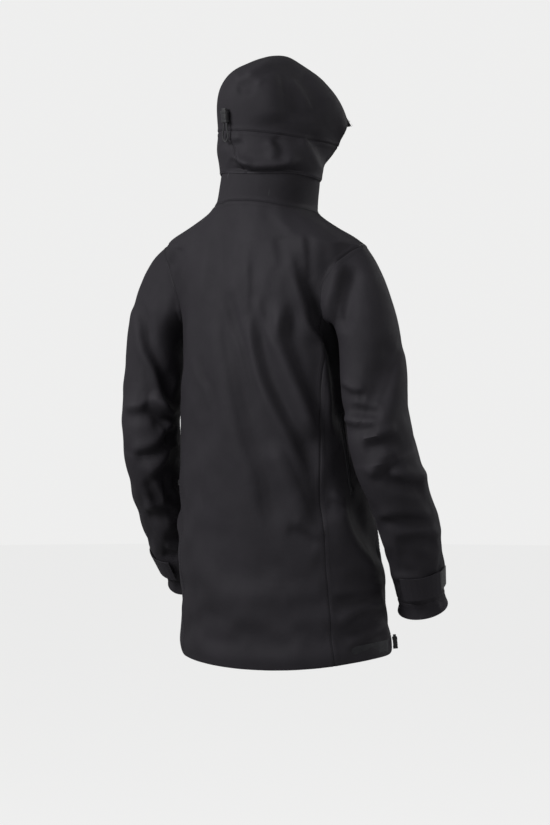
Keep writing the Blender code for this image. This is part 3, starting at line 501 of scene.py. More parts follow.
def fold_height(places, line, half_width, depth):
    """Height of one fold: a ridge on the upper left of its line and a valley beyond."""
    chord = line[-1] - line[0]
    if -chord[1] * UPPER_LEFT[0] + chord[0] * UPPER_LEFT[1] < 0.0:
        line = line[::-1]
    low = line.min(axis=0) - FOLD_REACH * half_width
    high = line.max(axis=0) + FOLD_REACH * half_width
    near = np.where(((places >= low) & (places <= high)).all(axis=1))[0]
    height = np.zeros(len(places))
    if len(near) == 0:
        return height
    here = places[near]
    starts = line[:-1]
    runs = line[1:] - line[:-1]
    lengths = np.linalg.norm(runs, axis=1)
    best = np.full(len(near), 1e9)
    signed = np.zeros(len(near))
    along = np.zeros(len(near))
    travelled = 0.0
    total = lengths.sum()
    for start, run, length in zip(starts, runs, lengths):
        offset = here - start
        share = np.clip((offset @ run) / (length * length), 0.0, 1.0)
        apart = offset - share[:, None] * run
        distance = np.linalg.norm(apart, axis=1)
        side = np.sign(run[0] * offset[:, 1] - run[1] * offset[:, 0])
        closer = distance < best
        best = np.where(closer, distance, best)
        signed = np.where(closer, side * distance, signed)
        along = np.where(closer, (travelled + share * length) / total, along)
        travelled += length
    ends = np.clip(np.minimum(along, 1.0 - along) / FOLD_FADE, 0.0, 1.0)
    ends = ends * ends * (3.0 - 2.0 * ends)
    ratio = signed / half_width
    slope = ratio * np.exp(0.5 - 0.5 * ratio * ratio)
    crease = CREASE_SHARE * np.exp(-np.abs(signed) / CREASE_WIDTH) * math.copysign(1.0, depth)
    height[near] = depth * ends * (slope - crease)
    return height


# Folds of the other sides, as (region, half width, depth, points round and up): degrees from the
# centre back towards the wearer's left, and height. Lengths are in millimetres.
ROUND_FOLDS = (
    ("trunk", 13, 4.2, ((62, -300), (88, -350), (118, -372))),
    ("trunk", 12, 3.6, ((70, -420), (98, -440), (125, -430))),
    ("trunk", 16, 4.4, ((60, -600), (84, -560), (112, -500))),
    ("trunk", 12, 3.6, ((76, -690), (100, -650), (130, -625))),
    ("trunk", 11, 4, ((112, -215), (128, -265), (146, -335), (160, -420))),
    ("trunk", 14, 3.4, ((122, -180), (140, -240), (158, -290))),
    ("trunk", 16, 4.4, ((172, -430), (150, -490), (128, -560))),
    ("trunk", 15, 3.4, ((174, -560), (156, -610), (136, -680))),
    ("trunk", 10, 2.6, ((168, -120), (158, -175), (152, -240))),
    ("trunk", 11, 4, ((-112, -215), (-128, -260), (-146, -320), (-162, -400))),
    ("trunk", 14, 3.4, ((-122, -180), (-142, -235), (-160, -275))),
    ("trunk", 16, 4.4, ((-172, -450), (-150, -520), (-126, -590))),
    ("trunk", 15, 3.4, ((-174, -600), (-158, -640), (-138, -700))),
    ("trunk", 10, 2.4, ((-168, -120), (-159, -180), (-153, -245))),
)


# Fullness of the cloth, as (region, middle, radius, height)
PUFFS = (
    ("hood", (-0.0195, -0.1130, 0.2400), 0.048, 0.0105),
)


def round_places(points):
    """Each point as (distance round the trunk, height), from the centre back."""
    turn = np.arctan2(points[:, 0] - TRUNK_AXIS[0], points[:, 1] - TRUNK_AXIS[1])
    return np.stack([turn * TRUNK_RADIUS, points[:, 2]], axis=1)


BROAD_UNEVENNESS = (16.0, 0.0012)   # waves to the metre, and height
FINE_UNEVENNESS = (42.0, 0.0004)
INNER_UNEVENNESS = (30.0, 0.0003)


def panel_numbers(mesh):
    numbers = np.zeros(len(mesh.polygons), dtype=np.int32)
    mesh.attributes["panel"].data.foreach_get("value", numbers)
    return numbers


def loop_arrays(mesh):
    """The point and the face of every face corner."""
    corner_points = np.zeros(len(mesh.loops), dtype=np.int64)
    mesh.loops.foreach_get("vertex_index", corner_points)
    totals = np.zeros(len(mesh.polygons), dtype=np.int64)
    mesh.polygons.foreach_get("loop_total", totals)
    return corner_points, np.repeat(np.arange(len(totals)), totals)


def point_regions(mesh, names):
    """For each point, whether it is in each region of the jacket."""
    numbers = panel_numbers(mesh)
    corner_points, corner_faces = loop_arrays(mesh)
    regions = {}
    for region in {region_of(name) for name in names}:
        wanted = np.array([region_of(name) == region for name in names])
        inside = np.zeros(len(mesh.vertices), dtype=bool)
        inside[corner_points[wanted[numbers[corner_faces]]]] = True
        regions[region] = inside
    return regions


def eased_edges(mesh, edges, rounds):
    """1 away from the open edges, 0 on them."""
    weight = np.ones((len(mesh.vertices), 1))
    rim = open_edge_points(mesh)
    weight[rim] = 0.0
    for _ in range(rounds):
        weight = relaxed(weight, edges, 1)
        weight[rim] = 0.0
    return weight[:, 0]


def fine_unevenness(points, scale, reach):
    """Small soft unevenness, the same each time."""
    return np.array([noise.noise(Vector(point) * scale) for point in points]) * reach


def pressed(mesh, names):
    """The cloth with its folds pressed in, along its normals."""
    points = read_points(mesh)
    edges = read_edges(mesh)
    normals = relaxed(read_normals(mesh), edges, 2)
    normals /= np.linalg.norm(normals, axis=1, keepdims=True)
    facing = normals @ np.array(TOWARDS)
    seen = np.clip((facing - NOT_IN_SIGHT) / SIGHT_FADE, 0.0, 1.0)
    places = np.stack([points @ np.array(ACROSS), points @ np.array(UPWARDS)], axis=1)
    regions = point_regions(mesh, names)
    height = np.zeros(len(points))
    for region, half_width, depth, line in FOLDS:
        if region in regions:
            run = [(across / MM, rise / MM) for across, rise in line]
            height += (fold_height(places, bent_line(run), half_width / MM, depth / MM) * seen
                       * regions[region])
    if "trunk" in regions:
        around = round_places(points)
        for region, half_width, depth, line in ROUND_FOLDS:
            run = [(math.radians(turn) * TRUNK_RADIUS, rise / MM) for turn, rise in line]
            height += (fold_height(around, bent_line(run), half_width / MM, depth / MM)
                       * regions[region])
    height = relaxed(height[:, None], edges, 1, 0.4)[:, 0] * eased_edges(mesh, edges, 6)
    height *= FOLD_GAIN * settings().fold_depth
    for region, middle, radius, rise in PUFFS:
        if region in regions:
            distance = np.linalg.norm(points - np.array(middle), axis=1)
            height += rise * np.exp(-(distance / radius) ** 2) * regions[region]
    height += fine_unevenness(points, *BROAD_UNEVENNESS) * eased_edges(mesh, edges, 4)
    height += fine_unevenness(points, *FINE_UNEVENNESS)
    write_points(mesh, points + normals * height[:, None])
    return mesh


# ---------------------------------------------------------------- seams

SEAM_DIP = 0.0006
SEAM_WELT = 0.0007
SEAM_WIDTH = 0.0042


def seam_lines(mesh, names):
    """The edges between two panels, other than where a lower sleeve meets its upper sleeve."""
    numbers = panel_numbers(mesh)
    corner_points, corner_faces = loop_arrays(mesh)
    loop_edges = corner_edges(mesh)
    low = np.full(len(mesh.edges), len(names))
    high = np.full(len(mesh.edges), -1)
    np.minimum.at(low, loop_edges, numbers[corner_faces])
    np.maximum.at(high, loop_edges, numbers[corner_faces])
    split = (low != high) & (high >= 0)
    for number, name in enumerate(names):
        if name.startswith("lower_sleeve"):
            above = names.index(name.replace("lower", "upper"))
            split &= ~((low == min(number, above)) & (high == max(number, above)))
    return np.where(split)[0]


def seam_distance(mesh, names):
    """Distance of each point to the nearest seam between two panels."""
    points = read_points(mesh)
    edges = read_edges(mesh)
    chosen = edges[seam_lines(mesh, names)]
    finder = finder_of([points[first] + (points[second] - points[first]) * share
                        for first, second in chosen for share in (0.0, 0.25, 0.5, 0.75)])
    return np.array([finder.find(point)[2] for point in points])


def seamed(mesh, names):
    """Each seam as a shallow groove between two low welts."""
    points = read_points(mesh)
    normals = read_normals(mesh)
    distance = seam_distance(mesh, names)
    ratio = distance / SEAM_WIDTH
    groove = SEAM_DIP * np.exp(-(ratio / 0.45) ** 2)
    height = SEAM_WELT * np.exp(-((ratio - 1.0) / 0.5) ** 2) - groove
    write_points(mesh, points + normals * height[:, None])
    away = mesh.attributes.new("seam_distance", "FLOAT", "POINT")
    away.data.foreach_set("value", distance.astype(np.float32))
    return mesh


# ---------------------------------------------------------------- from sewn cloth to panels

def weave_map(mesh, name):
    """A map of the cloth in metres: round the body or the arm, and along it."""
    layer = mesh.uv_layers.new(name="Cloth")
    points = read_points(mesh)
    low = points.min(axis=0)
    high = points.max(axis=0)
    if region_of(name).endswith("sleeve"):
        middle = (low + high) / 2.0
        slope = (high - low) / max(high[2] - low[2], 1e-6)
        radius = SLEEVE_RADIUS
        turn = np.arctan2(points[:, 0] - middle[0], points[:, 1] - middle[1]
                          - 0.55 * (points[:, 2] - middle[2]))
        along = points[:, 2] * (1.0 + 0.2 * abs(slope[1]))
    elif region_of(name) == "hood":
        radius = HOOD_RADIUS
        turn = np.arctan2(points[:, 0] - HOOD_CENTRE.x, points[:, 1] - HOOD_CENTRE.y)
        along = points[:, 2] + 0.3 * points[:, 1]
    else:
        radius = TRUNK_RADIUS
        turn = np.arctan2(points[:, 0] - TRUNK_AXIS[0], points[:, 1] - TRUNK_AXIS[1])
        along = points[:, 2]
    corner_points, corner_faces = loop_arrays(mesh)
    corner_turn = turn[corner_points]
    lowest = np.full(len(mesh.polygons), 9.0)
    np.minimum.at(lowest, corner_faces, corner_turn)
    wrapped = corner_turn - lowest[corner_faces] > math.pi
    corner_turn = np.where(wrapped, corner_turn - math.tau, corner_turn)
    pairs = np.stack([corner_turn * radius, along[corner_points]], axis=1)
    layer.data.foreach_set("uv", pairs.astype(np.float32).ravel())


def split_panels(mesh, names):
    """One mesh for each panel, cut from the sewn cloth."""
    result = {}
    for number, name in enumerate(names):
        grid = bmesh.new()
        grid.from_mesh(mesh)
        layer = grid.faces.layers.int["panel"]
        others = [face for face in grid.faces if face[layer] != number]
        bmesh.ops.delete(grid, geom=others, context="FACES")
        panel = mesh_from(grid, name + " cloth")
        weave_map(panel, name)
        result[name] = panel
    return result


CLOTH_THICKNESS = 0.0009


def place(name, mesh, materials, body=None):
    """A new visible piece in the scene's collection."""
    piece = linked(name, mesh)
    mesh.materials.clear()
    for material in materials:
        mesh.materials.append(material)
    mesh.shade_smooth()
    mesh.set_sharp_from_angle(angle=SKIN_TURN)
    if body is not None:
        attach(piece, body)
    return piece


def lined(mesh, thickness=CLOTH_THICKNESS):
    """The cloth with a lining side and cut edges."""
    mesh.materials.clear()
    for _ in range(2):
        mesh.materials.append(None)
    return modified(mesh, "SOLIDIFY", {"thickness": thickness, "offset": -1.0, "material_offset": 1,
                                       "use_even_offset": False, "use_rim": True})


# ---------------------------------------------------------------- materials

def nodes_of(title):
    """A new material's tree, its shader and a function that adds and links nodes."""
    material = bpy.data.materials.new(title)
    material.use_nodes = True
    tree = material.node_tree
    shader = tree.nodes["Principled BSDF"]

    def add(kind, inputs=None, **settings):
        node = tree.nodes.new(kind)
        for key, value in settings.items():
            setattr(node, key, value)
        for key, value in (inputs or {}).items():
            if isinstance(value, bpy.types.NodeSocket):
                tree.links.new(value, node.inputs[key])
            else:
                node.inputs[key].default_value = value
        return node

    return material, tree, shader, add


def maths(add, operation, first, second=0.0, third=0.0):
    return add("ShaderNodeMath", {0: first, 1: second, 2: third}, operation=operation).outputs[0]


def clouds(add, where, scale, detail, roughness=0.5, distortion=0.0):
    """Soft noise from 0 to 1."""
    return add("ShaderNodeTexNoise", {"Vector": where, "Scale": scale, "Detail": detail,
                                      "Roughness": roughness,
                                      "Distortion": distortion}).outputs["Fac"]


def between(add, value, low, high, to_low=0.0, to_high=1.0):
    node = add("ShaderNodeMapRange", {"Value": value, "From Min": low, "From Max": high,
                                      "To Min": to_low, "To Max": to_high})
    return node.outputs["Result"]


def scaled(colour, share):
    """The colour, brighter or darker by a share, with full cover."""
    return tuple(channel * share for channel in colour) + (1.0,)


def tinted(add, colour, factor, light, dark):
    """The colour made lighter or darker as the factor runs from 0 to 1."""
    return add("ShaderNodeMix", {0: factor, 6: scaled(colour, dark), 7: scaled(colour, light)},
               data_type="RGBA").outputs[2]


CREASE_RELIEF = 0.0009
RELIEF_STRENGTH = 0.55
GROOVE_WIDTH = 0.0016          # half width of a seam's groove, which the bump dips and the colour darkens as painted shadow
# painted shadow in the seam grooves: how far the colour is mixed, and the darker tone it is mixed
# towards
PAINTED_SEAM_SHADOW_SHARE = 0.65
PAINTED_SEAM_SHADOW_TONE = 0.30
TAPE_EDGE = (0.0070, 0.0007)   # where the seam tape's edge shows, and its half width
TAPE_RELIEF = 0.00025
BRAID_PITCH = 0.0011
BRAID_RELIEF = 0.00022


def woven_cloth(title, colour, roughness, thread, seams, sheen=0.0, specular=0.3, relief=0.00012):
    """Cloth with a plain weave, soft creases, uneven colour, a painted highlight on its convex edges and
    fold ridges, and, where it has seams, painted shadow in their grooves.
    """
    material, tree, shader, add = nodes_of(title)
    where = add("ShaderNodeTexCoord").outputs["Object"]
    flat = add("ShaderNodeUVMap", uv_map="Cloth").outputs["UV"]
    split = add("ShaderNodeSeparateXYZ", {0: flat})
    turn = math.tau / thread
    warp = maths(add, "SINE", maths(add, "MULTIPLY", split.outputs[0], turn))
    weft = maths(add, "SINE", maths(add, "MULTIPLY", split.outputs[1], turn))
    weave = maths(add, "MULTIPLY", warp, weft)
    blotch = clouds(add, where, 9.0, 3.0, 0.55)
    crease = clouds(add, where, 55.0, 4.0, 0.6, 0.6)
    # Painted highlight: pointiness makes the colour lighter on convex edges and fold ridges
    painted_edge_highlight = add("ShaderNodeNewGeometry").outputs["Pointiness"]
    painted_edge_highlight = between(add, painted_edge_highlight, 0.50, 0.60)
    tone = maths(add, "ADD", blotch, maths(add, "MULTIPLY", painted_edge_highlight, 0.5))
    thread_tone = maths(add, "MULTIPLY_ADD", weave, 0.12, tone)
    shade = tinted(add, colour, between(add, thread_tone, 0.25, 0.95), 1.22, 0.84)
    height = maths(add, "MULTIPLY", weave, relief)
    height = maths(add, "MULTIPLY_ADD", crease, CREASE_RELIEF, height)
    if seams:
        away = add("ShaderNodeAttribute", attribute_name="seam_distance").outputs["Fac"]
        # Painted shadow: the colour is darkened along each seam's groove, and the same mask also dips
        # the bump
        groove = between(add, away, 0.0, GROOVE_WIDTH, 1.0, 0.0)
        shade = add("ShaderNodeMix", {0: maths(add, "MULTIPLY", groove, PAINTED_SEAM_SHADOW_SHARE), 6: shade,
                                      7: scaled(colour, PAINTED_SEAM_SHADOW_TONE)},
                    data_type="RGBA").outputs[2]
        height = maths(add, "MULTIPLY_ADD", groove, -SEAM_DIP, height)
        tape = maths(add, "COMPARE", away, *TAPE_EDGE)
        height = maths(add, "MULTIPLY_ADD", tape, TAPE_RELIEF, height)
    bump = add("ShaderNodeBump", {"Height": height, "Strength": RELIEF_STRENGTH,
                                  "Distance": 1.0})
    tree.links.new(shade, shader.inputs["Base Color"])
    rough = between(add, thread_tone, 0.2, 1.0, roughness + 0.05, roughness - 0.06)
    tree.links.new(rough, shader.inputs["Roughness"])
    tree.links.new(bump.outputs[0], shader.inputs["Normal"])
    shader.inputs["Specular IOR Level"].default_value = specular
    shader.inputs["Sheen Weight"].default_value = sheen
    shader.inputs["Sheen Roughness"].default_value = 0.5
    return material


def moulded(title, colour, roughness, metallic=0.0, grain=600.0, relief=0.00006, specular=0.5):
    """Moulded plastic or metal with a fine grain, uneven gloss and a painted highlight on its convex
    edges.
    """
    material, tree, shader, add = nodes_of(title)
    where = add("ShaderNodeTexCoord").outputs["Object"]
    fine = clouds(add, where, grain, 3.0)
    broad = clouds(add, where, 60.0, 2.0)
    # Painted highlight: pointiness makes the colour lighter on the trim's convex edges
    painted_edge_highlight = between(add, add("ShaderNodeNewGeometry").outputs["Pointiness"], 0.50, 0.62)
    tone = maths(add, "MULTIPLY_ADD", painted_edge_highlight, 0.7, broad)
    tree.links.new(tinted(add, colour, between(add, tone, 0.25, 1.1), 1.5, 0.8),
                   shader.inputs["Base Color"])
    tree.links.new(between(add, broad, 0.25, 0.75, roughness - 0.07, roughness + 0.07),
                   shader.inputs["Roughness"])
    bump = add("ShaderNodeBump", {"Height": maths(add, "MULTIPLY", fine, relief), "Strength": 0.5,
                                  "Distance": 1.0})
    tree.links.new(bump.outputs[0], shader.inputs["Normal"])
    shader.inputs["Metallic"].default_value = metallic
    shader.inputs["Specular IOR Level"].default_value = specular
    return material


def braided(title, colour):
    """Round cord with a diagonal braid."""
    material, tree, shader, add = nodes_of(title)
    where = add("ShaderNodeTexCoord").outputs["Object"]
    split = add("ShaderNodeSeparateXYZ", {0: where})
    first = maths(add, "ADD", split.outputs[2], split.outputs[0])
    second = maths(add, "SUBTRACT", split.outputs[2], split.outputs[0])
    pitch = math.tau / BRAID_PITCH
    braid = maths(add, "MULTIPLY", maths(add, "SINE", maths(add, "MULTIPLY", first, pitch)),
                  maths(add, "SINE", maths(add, "MULTIPLY", second, pitch)))
    fuzz = clouds(add, where, 900.0, 2.0)
    tone = between(add, maths(add, "MULTIPLY_ADD", braid, 0.35, fuzz), 0.1, 0.9)
    tree.links.new(tinted(add, colour, tone, 1.4, 0.6), shader.inputs["Base Color"])
    tree.links.new(between(add, fuzz, 0.2, 0.8, 0.75, 0.95), shader.inputs["Roughness"])
    bump = add("ShaderNodeBump", {"Height": maths(add, "MULTIPLY", braid, BRAID_RELIEF), "Strength": 0.8,
                                  "Distance": 1.0})
    tree.links.new(bump.outputs[0], shader.inputs["Normal"])
    shader.inputs["Sheen Weight"].default_value = 0.15
    return material


# ---------------------------------------------------------------- sizes and colours to change

def colour_property(name, description, default):
    return bpy.props.FloatVectorProperty(name=name, description=description, default=default,
                                         subtype="COLOR", size=3, min=0.0, max=1.0)


class JacketSettings(bpy.types.PropertyGroup):
    """The sizes and colours that a user would change."""

    shell_colour: colour_property("Shell", "Colour of the outer cloth", (0.0262, 0.0242, 0.0290))
    lining_colour: colour_property("Lining", "Colour of the inside of the cloth",
                                   (0.030, 0.030, 0.034))
    trim_colour: colour_property("Trim", "Colour of zips, cord locks and tabs",
                                 (0.020, 0.020, 0.022))
    thread_pitch: bpy.props.FloatProperty(name="Thread pitch", default=0.0011, unit="LENGTH",
                                          description="Distance between threads of the weave")
    fold_depth: bpy.props.FloatProperty(name="Fold depth", default=1.0, min=0.0, max=1.5,
                                        subtype="FACTOR",
                                        description="Depth of the pressed-in folds")
    stitch_length: bpy.props.FloatProperty(name="Stitch length", default=0.0030, unit="LENGTH",
                                           description="Length of one stitch of a seam")


def settings():
    return bpy.context.scene.jacket_settings


SHELL_GLOSS = 0.16
SHELL_ROUGHNESS = 0.68
ZIP_METAL = (0.055, 0.055, 0.058)
BUTTON_COLOUR = (0.034, 0.034, 0.036)
CORD_COLOUR = (0.030, 0.030, 0.033)
LABEL_COLOUR = (0.30, 0.30, 0.30)
MATERIALS = {}


def finish(name):
    """A material of the jacket, made the first time that it is asked for."""
    if name in MATERIALS:
        return MATERIALS[name]
    chosen = settings()
    shell, lining, trim = (tuple(colour) for colour in (
        chosen.shell_colour, chosen.lining_colour, chosen.trim_colour))
    thread = chosen.thread_pitch
    makers = {
        "shell": lambda: woven_cloth("Shell cloth", shell, SHELL_ROUGHNESS, thread, True, 0.0,
                                     SHELL_GLOSS),
        "plain shell": lambda: woven_cloth("Plain shell cloth", shell, SHELL_ROUGHNESS, thread,
                                           False, 0.0, SHELL_GLOSS),
        "lining": lambda: woven_cloth("Backer cloth", lining, 0.80, 0.6 * thread, False, 0.1, 0.2),
        "knit": lambda: woven_cloth("Brushed knit", lining, 0.92, 1.6 * thread, False, 0.35, 0.15,
                                    0.0003),
        "tape": lambda: woven_cloth("Zip tape", trim, 0.75, 1.2 * thread, False, 0.0, 0.25, 0.0002),
        "teeth": lambda: moulded("Zip teeth", trim, 0.36),
        "slider": lambda: moulded("Coated zip metal", ZIP_METAL, 0.34, 0.85),
        "trim": lambda: moulded("Moulded trim", trim, 0.45),
        "button": lambda: moulded("Button plastic", BUTTON_COLOUR, 0.40),
        "cord": lambda: braided("Braided cord", CORD_COLOUR),
        "label": lambda: woven_cloth("Label weave", LABEL_COLOUR, 0.85, 0.4 * thread, False),
        "thread": lambda: braided("Sewing thread", tuple(1.25 * channel for channel in shell)),
    }
    MATERIALS[name] = makers[name]()
    return MATERIALS[name]


# ---------------------------------------------------------------- the sewn cloth

FULL_SMOOTHING = 2             # subdivisions after the cloth has settled
BODY_OF = {}
for _side in SIDES:
    BODY_OF["lower_sleeve_" + _side] = "lower_sleeve_" + _side
    BODY_OF["cuff_band_" + _side] = "lower_sleeve_" + _side


def shared_ring(mesh, names, name, others):
    """Middle and direction of the seam that the named panel shares with other panels."""
    numbers = panel_numbers(mesh)
    corner_points, corner_faces = loop_arrays(mesh)
    corner_numbers = numbers[corner_faces]
    mine = set(corner_points[corner_numbers == names.index(name)].tolist())
    theirs = set()
    for other in others:
        theirs |= set(corner_points[corner_numbers == names.index(other)].tolist())
    points = read_points(mesh)
    ring = points[sorted(mine & theirs)]
    middle = ring.mean(axis=0)
    normal = np.linalg.svd(ring - middle)[2][2]
    own_middle = points[sorted(mine)].mean(axis=0)
    if normal @ (own_middle - middle) < 0.0:
        normal = -normal
    return middle, normal


STITCH_INSET = 0.0031          # from the seam to its row of stitches
STITCH_WIDTH = 0.00042
STITCH_HEIGHT = 0.00036
SEWN_EDGE = 0.0005             # a panel edge nearer than this to a seam line is sewn


def stitch_places(mesh, name):
    """Middle, direction and normal of each stitch beside the panel's sewn edges."""
    away = np.zeros(len(mesh.vertices), dtype=np.float32)
    mesh.attributes["seam_distance"].data.foreach_get("value", away)
    grid = bmesh.new()
    grid.from_mesh(mesh)
    grid.verts.ensure_lookup_table()
    places = []
    for edge in grid.edges:
        if not edge.is_boundary:
            continue
        first, second = edge.verts
        if "sleeve" in name and max(away[first.index], away[second.index]) > SEWN_EDGE:
            continue
        face = edge.link_faces[0]
        middle = (first.co + second.co) / 2.0
        run = (second.co - first.co).normalized()
        inward = face.calc_center_median() - middle
        inward = (inward - run * inward.dot(run)).normalized()
        places.append((middle + inward * STITCH_INSET, run, face.normal.copy(), edge.calc_length()))
    grid.free()
    return places


HALVES = (-0.5, 0.5)
CUBE_CORNERS = np.array([(x, y, z, 1.0) for x in HALVES for y in HALVES for z in HALVES])
CUBE_FACES = ((0, 1, 3, 2), (4, 6, 7, 5), (0, 4, 5, 1), (2, 3, 7, 6), (0, 2, 6, 4), (1, 5, 7, 3))


def add_stitches(mesh, places):
    """Short raised threads along the panel's edges, in the mesh's third material."""
    length = settings().stitch_length
    corners = []
    faces = []
    for middle, run, normal, room in places:
        side = normal.cross(run)
        matrix = np.array([[run[i], side[i], normal[i], middle[i]] for i in range(3)])
        size = np.array([min(length, 0.8 * room), STITCH_WIDTH, STITCH_HEIGHT, 1.0])
        first = len(corners)
        corners.extend((CUBE_CORNERS * size) @ matrix.T)
        faces.extend([first + corner for corner in face] for face in CUBE_FACES)
    threads = bpy.data.meshes.new("threads")
    threads.from_pydata([tuple(corner) for corner in corners], [], faces)
    grid = bmesh.new()
    grid.from_mesh(mesh)
    cloth_faces = len(grid.faces)
    grid.from_mesh(threads)
    grid.faces.ensure_lookup_table()
    for face in grid.faces[cloth_faces:]:
        face.material_index = 2
    grid.to_mesh(mesh)
    grid.free()
    return mesh


def cloth_piece(name, mesh, outer="shell", inner="lining"):
    places = stitch_places(mesh, name)
    piece = place(name + "_cloth", add_stitches(lined(mesh), places),
                  (finish(outer), finish(inner), finish("thread")))
    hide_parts(name)
    return piece


def sewn_cloth(title, names, settles):
    """The sewn, settled and folded mesh of several panels."""
    mesh = rounded(sewn_mesh(title, names), 1)
    if settles:
        mesh = hung(mesh, points_of_panel(mesh, names.index("collar_shell")))
    mesh = rounded(mesh, FULL_SMOOTHING)
    if title == "hood":
        round_open_edge(mesh)
    return seamed(pressed(mesh, names), names)


def points_of_panel(mesh, number):
    """The numbers of the points that one panel uses."""
    numbers = panel_numbers(mesh)
    corner_points, corner_faces = loop_arrays(mesh)
    return sorted(set(corner_points[numbers[corner_faces] == number].tolist()))


EDGE_ROUNDS = 40


def round_open_edge(mesh):
    """Takes the sharp corners off the open edge, moving only its own points."""
    points = read_points(mesh)
    edges = read_edges(mesh)
    rim = np.zeros(len(points), dtype=bool)
    rim[open_edge_points(mesh)] = True
    own = edges[rim[edges].all(axis=1)]
    count = np.zeros(len(points))
    np.add.at(count, own.ravel(), 1.0)
    for _ in range(EDGE_ROUNDS):
        total = np.zeros_like(points)
        np.add.at(total, own[:, 0], points[own[:, 1]])
        np.add.at(total, own[:, 1], points[own[:, 0]])
        points[rim] += 0.5 * (total[rim] / count[rim][:, None] - points[rim])
    write_points(mesh, points)


def make_trunk_and_sleeves():
    names = TRUNK + SLEEVES
    mesh = sewn_cloth("trunk and sleeves", names, True)
    for side in SIDES:
        upper = "upper_sleeve_" + side
        lower = "lower_sleeve_" + side
        shared_ring(mesh, names, upper, TRUNK)
        shared_ring(mesh, names, lower, (upper,))
    panels = split_panels(mesh, names)
    for name, panel in panels.items():
        piece = cloth_piece(name, panel)
        if name.startswith("upper_sleeve"):
            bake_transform(piece)
        elif name.startswith("lower_sleeve"):
            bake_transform(piece)
        else:
            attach(piece, BODY_OF.get(name, "shell"))


def make_hood():
    mesh = sewn_cloth("hood", HOOD, False)
    panels = split_panels(mesh, HOOD)
    for name, panel in panels.items():
        piece = cloth_piece(name, panel)
        if name.startswith("hood_lower"):
            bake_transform(piece)
        else:
            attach(piece, "hood")


# ---------------------------------------------------------------- facings, linings and bags

# outer finish, inner finish, thickness and body of each inner piece
FACINGS = {
    "collar_lining": ("knit", "lining", 0.0009, "shell"),
    "hem_facing": ("lining", "lining", 0.0009, "shell"),
    "brow_facing": ("lining", "lining", 0.0009, "hood"),
    "cheek_facing_left": ("lining", "lining", 0.0009, "hood"),
    "cheek_facing_right": ("lining", "lining", 0.0009, "hood"),
    "storm_flap": ("plain shell", "lining", 0.0010, "shell"),
    "chin_guard": ("knit", "knit", 0.0010, "shell"),
    "pocket_bag_left": ("lining", "lining", 0.0009, "shell"),
    "pocket_bag_right": ("lining", "lining", 0.0009, "shell"),
}
STRIP_STEP = 0.012
FACE_DRAW = 0.07               # share by which the facings round the face stand back from its edge
BAG_INSET = 0.007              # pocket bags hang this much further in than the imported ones


def inner_cloth(name):
    """The skin of an inner piece, cut fine enough to bend and slightly uneven."""
    points, faces = outer_skin(name)
    grid = bmesh.new()
    made = [grid.verts.new(point) for point in points]
    for corners in faces:
        grid.faces.new([made[corner] for corner in corners])
    for _ in range(4):
        long_edges = [edge for edge in grid.edges if edge.calc_length() > STRIP_STEP]
        if long_edges:
            bmesh.ops.subdivide_edges(grid, edges=long_edges, cuts=1, use_grid_fill=True)
    bmesh.ops.join_triangles(grid, faces=grid.faces, angle_face_threshold=1.0,
                             angle_shape_threshold=3.2)
    mesh = mesh_from(grid, name + " cloth")
    spots = read_points(mesh)
    if name in ("brow_facing", "cheek_facing_left", "cheek_facing_right"):
        spots += (spots.mean(axis=0) - spots) * FACE_DRAW
    height = fine_unevenness(spots, *INNER_UNEVENNESS) - BAG_INSET * name.startswith("pocket_bag")
    write_points(mesh, spots + read_normals(mesh) * height[:, None])
    weave_map(mesh, name)
    return mesh


def make_facings():
    for name, (outer, inner, thickness, body) in FACINGS.items():
        piece = place(name + "_cloth", lined(inner_cloth(name), thickness),
                      (finish(outer), finish(inner)), body)
        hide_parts(name)


# ---------------------------------------------------------------- hard trim

def block_frame(name):
    """Middle, axes (across, along, out) and half sizes of a block-shaped CAD node."""
    points = read_points(frame["nodes"][name].data)
    low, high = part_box(name)
    middle = np.array((low + high) / 2.0)
    axes = np.linalg.svd(points - points.mean(axis=0), full_matrices=False)[2]
    sizes = [np.ptp(points @ axis) for axis in axes]
    order = np.argsort(sizes)
    out = axes[order[0]]
    along = axes[order[2]]
    if along[2] < 0.0:
        along = -along
    centre = HOOD_CENTRE if name.startswith("hood") else Vector((*TRUNK_AXIS, middle[2]))
    if out @ (middle - np.array(centre)) < 0.0:
        out = -out
    across = np.cross(along, out)
    middle = sum(axis * (0.5 * ((points @ axis).max() + (points @ axis).min()))
                 for axis in (across, along, out))
    matrix = Matrix([[across[i], along[i], out[i], middle[i]] for i in range(3)] + [[0, 0, 0, 1]])
    half = [0.5 * np.ptp(points @ axis) for axis in (across, along, out)]
    return matrix, half


def add_box(grid, matrix, centre, size, taper=1.0):
    """A box in the block's frame; its lower end is narrower by the taper."""
    made = bmesh.ops.create_cube(grid, size=1.0)["verts"]
    for vertex in made:
        narrow = taper if vertex.co.y < 0.0 else 1.0
        local = Vector((centre[0] + vertex.co.x * size[0] * narrow,
                        centre[1] + vertex.co.y * size[1], centre[2] + vertex.co.z * size[2]))
        vertex.co = matrix @ local
    return made


def add_ring(grid, matrix, centre, axis, outer, tube, segments=24):
    """A small ring round an axis of the block's frame (0 across, 1 along, 2 out)."""
    first, second = [number for number in range(3) if number != axis]
    rows = []
    for step in range(segments):
        angle = math.tau * step / segments
        row = []
        for part in range(8):
            roll = math.tau * part / 8
            local = [0.0, 0.0, 0.0]
            radius = outer - tube + tube * math.cos(roll)
            local[first] = centre[first] + radius * math.cos(angle)
            local[second] = centre[second] + radius * math.sin(angle)
            local[axis] = centre[axis] + tube * math.sin(roll)
            row.append(grid.verts.new(matrix @ Vector(local)))
        rows.append(row)
    for index, row in enumerate(rows):
        after = rows[(index + 1) % segments]
        for part in range(8):
            beyond = (part + 1) % 8
            grid.faces.new((row[part], row[beyond], after[beyond], after[part]))


